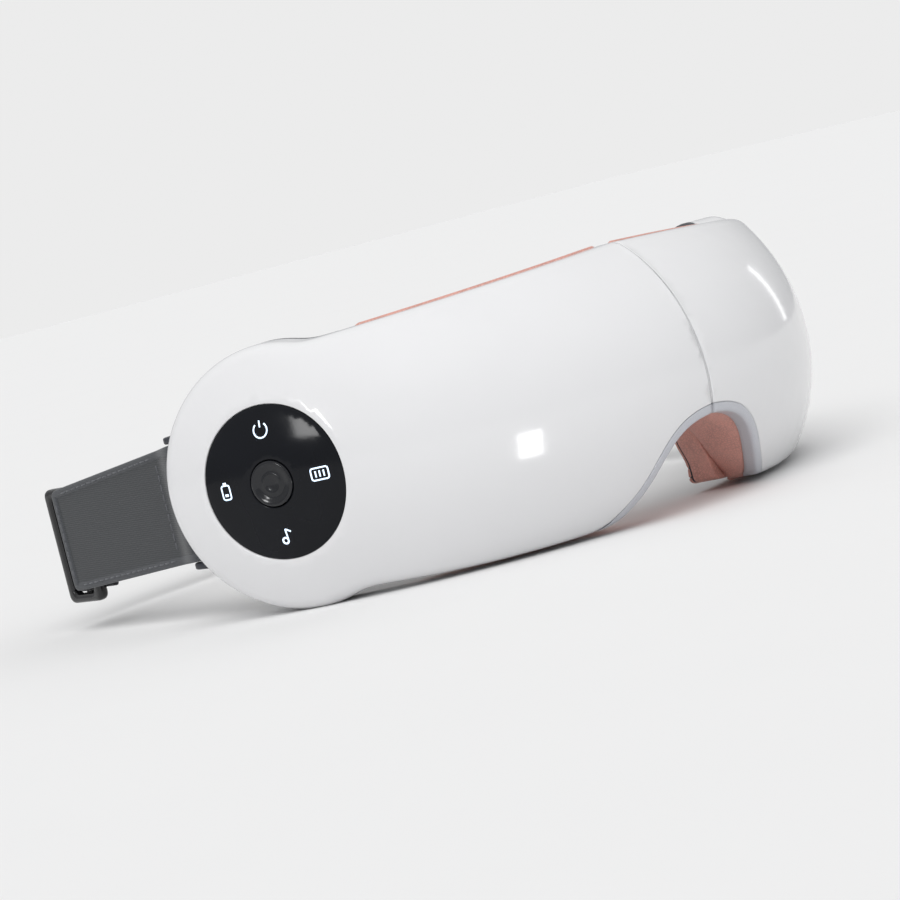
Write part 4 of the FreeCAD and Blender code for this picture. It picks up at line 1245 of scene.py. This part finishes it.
def arc(centre, radius, start, end, count=28):
    """Plane points on an arc, its ends given in degrees."""
    turn = radians(np.linspace(start, end, count))
    return np.column_stack([centre[0] + radius * np.cos(turn), centre[1] + radius * np.sin(turn)])


def bar(one, other, count=4):
    """Plane points on a straight line."""
    return np.linspace(one, other, count)


def rounded_box(centre, wide, tall, corner=0.6, count=5):
    """Corners of a box as arcs of a count of points each."""
    parts = []
    for (sx, sy), start in zip(((1, 1), (-1, 1), (-1, -1), (1, -1)), (0, 90, 180, 270)):
        middle = (centre[0] + sx * (wide / 2 - corner), centre[1] + sy * (tall / 2 - corner))
        parts.append(arc(middle, corner, start, start + 90, count))
    return np.concatenate(parts)


def icons(materials):
    """Four plain glyphs: timer above, heat on the right, sound below and battery on the left."""
    shape = Shape()
    top, right, low, left = (0, ICON_R), (ICON_R, 0), (0, -ICON_R), (-ICON_R, 0)
    stroke(shape, arc(top, 1.9, 130, 410))
    stroke(shape, bar((0, ICON_R + 0.7), (0, ICON_R + 2.4)))
    stroke(shape, rounded_box(right, 4.6, 3.0), closed=True)
    for shift in (-1.1, 0, 1.1):
        stroke(shape, bar((right[0] + shift, -0.8), (right[0] + shift, 0.8)))
    stroke(shape, arc((low[0] - 0.7, low[1] - 1.2), 0.75, 0, 348), 0.5, True)
    stroke(shape, bar((low[0] + 0.1, low[1] - 1.2), (low[0] + 0.1, low[1] + 1.7)))
    stroke(shape, bar((low[0] + 0.1, low[1] + 1.7), (low[0] + 1.5, low[1] + 0.9)))
    stroke(shape, rounded_box(left, 2.4, 3.6), closed=True)
    stroke(shape, bar((left[0] - 0.5, 2.3), (left[0] + 0.5, 2.3)), 0.5)
    stroke(shape, bar((left[0] - 0.5, -0.7), (left[0] + 0.5, -0.7)), 0.7)
    lit = make("lit_icons", shape.mirrored(), materials, "left_half")
    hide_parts("icon_windows")


def power_button(materials):
    """Round button with a raised rim and a thumb dimple, turned about the lobe's axis."""
    dimple = ((0.8, 0.6), (1.6, 0.5), (2.2, 0.32), (2.6, 0.36), (3.2, 0.55), (3.8, 0.42), (4.4, 0.22))
    rim = ((4.9, 0.06), (5.3, 0.02), (5.6, 0.12), (5.75, 0.3), (5.8, 0.6), (BUTTON_R, 2.9))
    flange_and_stem = ((6.8, 2.9), (6.8, 3.9), (1.5, 3.9), (1.5, 5.7))
    count = 72
    shape = Shape()
    rings = shape.rows([circle(LOBE_CENTRE + LOBE_INWARD * depth, radius, LOBE_ALONG, Z, count)
                        for radius, depth in dimple + rim + flange_and_stem], True)
    middle = shape.add([LOBE_CENTRE + LOBE_INWARD * 0.62])[0]
    for i in range(count):
        shape.face((middle, rings[0][i], rings[0][(i + 1) % count]))
    shape.face(rings[-1])
    button = make("dished_button", shape.mirrored(), materials, "power_button")
    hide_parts("power_button")


# ---- strap ----
def tab_half_thickness(u, v):
    """Half the tab's thickness: a loop round the bar that tapers into the flat cloth, and a raised hem."""
    top = TAB_HIGH + LEAN_TOP * u - v
    low = v - TAB_LOW - LEAN_LOW * u
    edge = np.minimum(np.minimum(top, low), TAB_LENGTH - u)
    flat = TAB_THICK / 2 - 0.3 + 0.3 * smoothstep((HEM + 0.3 - edge) / 0.5)
    round_end = LOOP_R * np.sqrt(np.maximum(1 - (u / (LOOP_R + 0.05)) ** 2, 0))
    taper = flat + (LOOP_R - flat) * (1 - smoothstep(u / 9.0))
    return np.where(u < 0, np.maximum(round_end, 0.6), taper)


def tab_outline():
    """The tab's edge with rounded corners, from just ahead of the bar to its free end."""
    start = -LOOP_R
    corners = [(start, TAB_HIGH + start * LEAN_TOP), (TAB_LENGTH, TAB_END_HIGH), (TAB_LENGTH, TAB_END_LOW),
               (start, TAB_LOW + start * LEAN_LOW)]
    sides = [np.linspace(a, b, 60)[:-1] for a, b in zip(corners, corners[1:] + corners[:1])]
    ring = np.concatenate(sides)
    base = BAR_CENTRE + row(ring[:, 0], Y) + row(ring[:, 1], Z)
    return closed_outline(base, np.tile(-X, (len(base), 1)), 0.9, 1.5)


def stitch(shape, one, other, radius):
    """One stitch: a small round-ended rod."""
    way = unit(other - one)
    side = unit(np.cross(way, X if abs(way[0]) < 0.8 else Z))
    up = np.cross(way, side)
    tip = way * radius * 0.8
    spots = ((one - tip, 0.35), (one, 1.0), (other, 1.0), (other + tip, 0.35))
    rings = shape.rows([circle(spot, radius * part, side, up, 6) for spot, part in spots], True)
    shape.face(rings[0])
    shape.face(rings[-1])


def stitch_line(shape, line, pitch=2.6, length=1.8, radius=0.2):
    """Row of stitches along a line of points, each lying on it."""
    steps = distances(line)
    for start in np.arange(pitch / 2, steps[-1] - length, pitch):
        ends = [np.array([np.interp(start + more, steps, c) for c in line.T]) for more in (0, length)]
        stitch(shape, *ends, radius)


def tab_stitching(materials):
    """Stitches inside the hem on both faces, and one row across behind the bar's loop."""
    shape = Shape()
    inset = HEM - 0.55
    first, start, end = 9.5, 10.0, TAB_LENGTH - inset
    lines = []
    for edge, lean, shift in ((TAB_HIGH, LEAN_TOP, -inset), (TAB_LOW, LEAN_LOW, inset)):
        lines.append([(u, edge + lean * u + shift) for u in np.linspace(start, end - inset, 30)])
    for u, low, high in ((end, TAB_END_LOW, TAB_END_HIGH),
                         (first, TAB_LOW + LEAN_LOW * first, TAB_HIGH + LEAN_TOP * first)):
        lines.append([(u, v) for v in np.linspace(low + 2 * inset, high - 2 * inset, 20)])
    for sign in (1, -1):
        for line in lines:
            u, v = np.array(line).T
            lift = sign * tab_half_thickness(u, v)
            stitch_line(shape, BAR_CENTRE + row(u, Y) + row(v, Z) + row(lift, X))
    both_sides("tab_stitches", shape, materials, STRAPS)


def strap_tabs(materials):
    """Cloth tab with a raised hem, looped round the strap bar."""
    outer = FlatSkin(BAR_CENTRE, tab_half_thickness)
    inner = FlatSkin(BAR_CENTRE, lambda u, v: -tab_half_thickness(u, v))
    shape = slab([tab_outline()], outer, inner, 0.55, 0.55, 0.8, levels=3, wall_rows=2, hem=HEM, hem_kind=1)
    both_sides("tab_cloth", shape, materials, STRAPS, "strap_tab")


def buckle_outline(wide, tall, corner):
    """Rounded rectangle about the buckle's centre, as a closed outline square to the strap."""
    ring = rounded_box((0, 0), wide, tall, corner, 9)
    base = BUCKLE_CENTRE + row(ring[:, 0], Y) + row(ring[:, 1], Z)
    return closed_outline(base, np.tile(X, (len(base), 1)), 0.7, 0)


def buckles(materials):
    """Three-bar slider with rounded bars; the middle bar is thinner, so that the band can go over it."""
    half = BUCKLE_THICK / 2
    skins = [FlatSkin(BUCKLE_CENTRE, height) for height in (-half, half)]
    outer = buckle_outline(BUCKLE_LENGTH, BUCKLE_HEIGHT, 2.2)
    hole = buckle_outline(BUCKLE_LENGTH - 2 * BUCKLE_BAR, BAND_HEIGHT + 1.0, 1.0).hole()
    shape = slab([outer, hole], *skins, 1.1, 1.1, 1.0, levels=4, wall_rows=2)
    bar_x = 0.8 - half
    section = circle(BUCKLE_CENTRE + X * bar_x, 1.0, X * 0.8, Y * 1.5, 24)
    reach = BAND_HEIGHT / 2 + 1.5
    convex_prism(shape, section, Z, -reach, reach, 0.2, 2)
    both_sides("slider", shape, materials, STRAPS, "strap_buckle")


def band_path():
    """Middle line of the elastic band in plan, from the centre of the back to its end past the slider."""
    start_x = STRAP_X - TAB_THICK / 2 - 0.1 - BUCKLE_THICK - BAND_THICK / 2
    slope = 0.3
    for _ in range(40):
        turn_x = start_x - BAND_CORNER * (1 - math.sin(slope))
        turn_y = BUCKLE_END + BAND_CORNER * math.cos(slope)
        slope = 2 * math.atan((BAND_BACK_Y - turn_y) / turn_x)
    big_r = turn_x / math.sin(slope)
    back = np.linspace(0, slope, 40)
    points = [(big_r * math.sin(a), BAND_BACK_Y - big_r * (1 - math.cos(a))) for a in back]
    corner = np.linspace(slope, math.pi / 2, 14)[1:]
    points += [(start_x - BAND_CORNER + BAND_CORNER * math.sin(a), BUCKLE_END + BAND_CORNER * math.cos(a))
               for a in corner]
    middle = BUCKLE_CENTRE[1]
    over = STRAP_X - TAB_THICK / 2 - 0.15 - BAND_HALF
    up_to_bar = ((start_x, 4.6), (over - 1.6, 3.1), (over, 1.2))
    down_from_bar = ((over, -1.2), (over - 1.6, -3.1), (start_x, -4.6), (start_x - 0.3, -10.0))
    points += [(x, middle + ahead) for x, ahead in up_to_bar + down_from_bar]
    half = np.array(points)
    plan = np.concatenate([half[::-1], half[1:] * [-1, 1]])
    line = row(plan[:, 0], X) + row(plan[:, 1], Y)
    line, _, _ = resample(line, np.tile(Z, (len(line), 1)), np.zeros(len(line)), 0.6, False)
    return soften(line, 1.8, False)


def band_section():
    """Section of the band as distances across and up, with ribs along both faces."""
    edge, steps = 0.6, 28
    face = []
    for k, v in enumerate(np.linspace(BAND_HEIGHT / 2 - edge, edge - BAND_HEIGHT / 2, steps + 1)):
        face.append((BAND_HALF - 0.12 * (k % 2), v))
    low = 0.1 - BAND_HEIGHT / 2
    side = face + [(0.5 * BAND_HALF, low), (-0.5 * BAND_HALF, low)]
    return side + [(-across, -v) for across, v in side]


def elastic_band(materials):
    """Woven band from one slider round the back of the head to the other, ribbed along its length."""
    path = band_path()
    out = unit(np.cross(tangents(path, False), Z))
    shape = Shape()
    shape.tube_of([path + out * across + Z * (BAND_Z + v) for across, v in band_section()], False)
    band = make("elastic_strap", shape, materials)
    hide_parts("left_elastic_band", "right_elastic_band")
    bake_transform(band)


# ---- camera, light, floor ----
def camera():
    """Camera that looks at the control side from the front, a little from above and rolled."""
    target = Vector((CAMERA_TARGET + TO_FRAME) * MM)
    back = Vector(CAMERA_BACK).normalized()
    right = Vector(Z).cross(back).normalized()
    up = back.cross(right)
    roll = math.radians(CAMERA_ROLL)
    side = right * math.cos(roll) - up * math.sin(roll)
    high = right * math.sin(roll) + up * math.cos(roll)
    data = bpy.data.cameras.new("camera")
    data.lens, data.sensor_width = LENS, 36.0
    data.clip_start, data.clip_end = 0.05, 20
    viewer = bpy.data.objects.new("camera", data)
    pose = Matrix((side, high, back)).transposed().to_4x4()
    pose.translation = target + back * CAMERA_DISTANCE
    viewer.matrix_world = pose
    bpy.context.scene.collection.objects.link(viewer)
    bpy.context.scene.camera = viewer


def aimed_lamp(name, data, way):
    """Lamp that shines along a direction."""
    lamp = bpy.data.objects.new(name, data)
    lamp.rotation_mode = "QUATERNION"
    lamp.rotation_quaternion = way.to_track_quat("-Z", "Y")
    bpy.context.scene.collection.objects.link(lamp)
    return lamp


def glint(name, spot, wide, tall, radiance, distance=1.0):
    """Softbox whose mirror image the camera sees at a place on the front, given by angle, height and side.

    It shows only in reflections and lights no surface otherwise.
    """
    angle, z, side = spot
    step = 0.1
    flat = np.array([[np.interp(angle, ANGLES, LENGTHS), z]])
    here, ahead, above = (CROWN.lift(flat + [[du, dv]])[0] for du, dv in ((0, 0), (step, 0), (0, step)))
    normal = np.cross(ahead - here, above - here)
    flip = np.array([side, 1, 1])
    point = Vector((here * flip + TO_FRAME) * MM)
    normal = Vector(normal * flip).normalized()
    if normal.y > 0:
        normal.negate()
    view = (bpy.context.scene.camera.matrix_world.translation - point).normalized()
    bounce = 2 * normal.dot(view) * normal - view
    data = bpy.data.lights.new(name, "AREA")
    data.shape, data.size, data.size_y = "RECTANGLE", wide, tall
    data.energy = radiance * math.pi * wide * tall
    lamp = aimed_lamp(name, data, -bounce)
    lamp.location = point + bounce * distance
    lamp.visible_diffuse = False


def paper_floor():
    half = 4.0
    corners = [(x * half, y * half, 0) for x, y in ((-1, -1), (1, -1), (1, 1), (-1, 1))]
    mesh = bpy.data.meshes.new("floor")
    mesh.from_pydata(corners, [], [(0, 1, 2, 3)])
    floor = bpy.data.objects.new("floor", mesh)
    paper = material("white_paper", (0.9, 0.9, 0.9), 0.9, Specular_IOR_Level=0.0)
    vary(paper, noise(paper, 60, 3), (0.818, 0.818, 0.818), (0.822, 0.822, 0.822), "Base Color")
    mesh.materials.append(paper)
    bpy.context.scene.collection.objects.link(floor)


def studio_sky():
    """Soft sky, a little brighter above; the camera itself sees an even tone that continues the floor."""
    world = bpy.data.worlds.new("studio")
    bpy.context.scene.world = world
    world.use_nodes = True
    seen = node(world, "ShaderNodeBackground", Color=(1, 1, 1, 1), Strength=0.838)
    sky = world.node_tree.nodes["Background"]
    sky.inputs["Strength"].default_value = 0.62
    direction = node(world, "ShaderNodeTexCoord")
    split = node(world, "ShaderNodeSeparateXYZ")
    ramp = node(world, "ShaderNodeValToRGB")
    low, high = ramp.color_ramp.elements
    low.position, low.color = 0.0, (0.75, 0.76, 0.78, 1)
    high.position, high.color = 0.8, (1.15, 1.15, 1.15, 1)
    link(world, direction.outputs["Generated"], split.inputs[0])
    link(world, split.outputs["Z"], ramp.inputs["Fac"])
    link(world, ramp.outputs["Color"], sky.inputs["Color"])
    rays = node(world, "ShaderNodeLightPath")
    either = node(world, "ShaderNodeMixShader")
    link(world, rays.outputs["Is Camera Ray"], either.inputs[0])
    link(world, sky.outputs[0], either.inputs[1])
    link(world, seen.outputs[0], either.inputs[2])
    link(world, either.outputs[0], world.node_tree.nodes["World Output"].inputs["Surface"])


def key_light():
    """Broad soft key from above, in front of the control side; it shows in no reflection."""
    sun = bpy.data.lights.new("key", "SUN")
    sun.energy, sun.angle = 1.5, math.radians(50)
    lamp = aimed_lamp("key", sun, Vector((0.55, 0.45, -1.0)))
    lamp.visible_glossy = False


def finish_cad_nodes(materials):
    """Gives each CAD node that still shows the material of its slot."""
    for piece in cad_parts.values():
        for index, old in enumerate(piece.data.materials):
            key = old.name.split(".")[0] if old else ""
            piece.data.materials[index] = materials.get(key, materials["inner_plastic"])


def build():
    materials = build_materials()
    finish_cad_nodes(materials)
    shell_pieces([materials["white_shell"]])
    seam_walls([materials["white_shell"]])
    nose_trim([materials["grey_trim"]])
    nose_liner([materials["leatherette"]])
    face_pads([materials["leatherette"], materials["face_leather"]])
    pad_piping([materials["leatherette"]])
    pad_seams([materials["leatherette"], materials["thread"]])
    massage_cushions([materials["cushion_cloth"]])
    cushion_seams([materials["leatherette"]])
    temple_covers([materials["dark_cover"]])
    control_panel([materials["black_gloss"]])
    power_button([materials["button_gloss"]])
    icons([materials["icon_light"]])
    strap_tabs([materials["tab_fabric"], materials["tab_hem"]])
    tab_stitching([materials["thread"]])
    buckles([materials["buckle_plastic"]])
    elastic_band([materials["elastic"]])


bpy.context.scene.view_settings.view_transform = "Standard"
camera()
paper_floor()
studio_sky()
key_light()
glint("square_softbox", (30.0, -6.5, -1), 0.014, 0.032, 9.0, distance=0.06)
glint("disc_softbox", (59.5, 12.0, -1), 0.12, 0.16, 14.0)
glint("far_strip_softbox", (24.0, 14.0, 1), 0.05, 0.3, 2.5)
build()
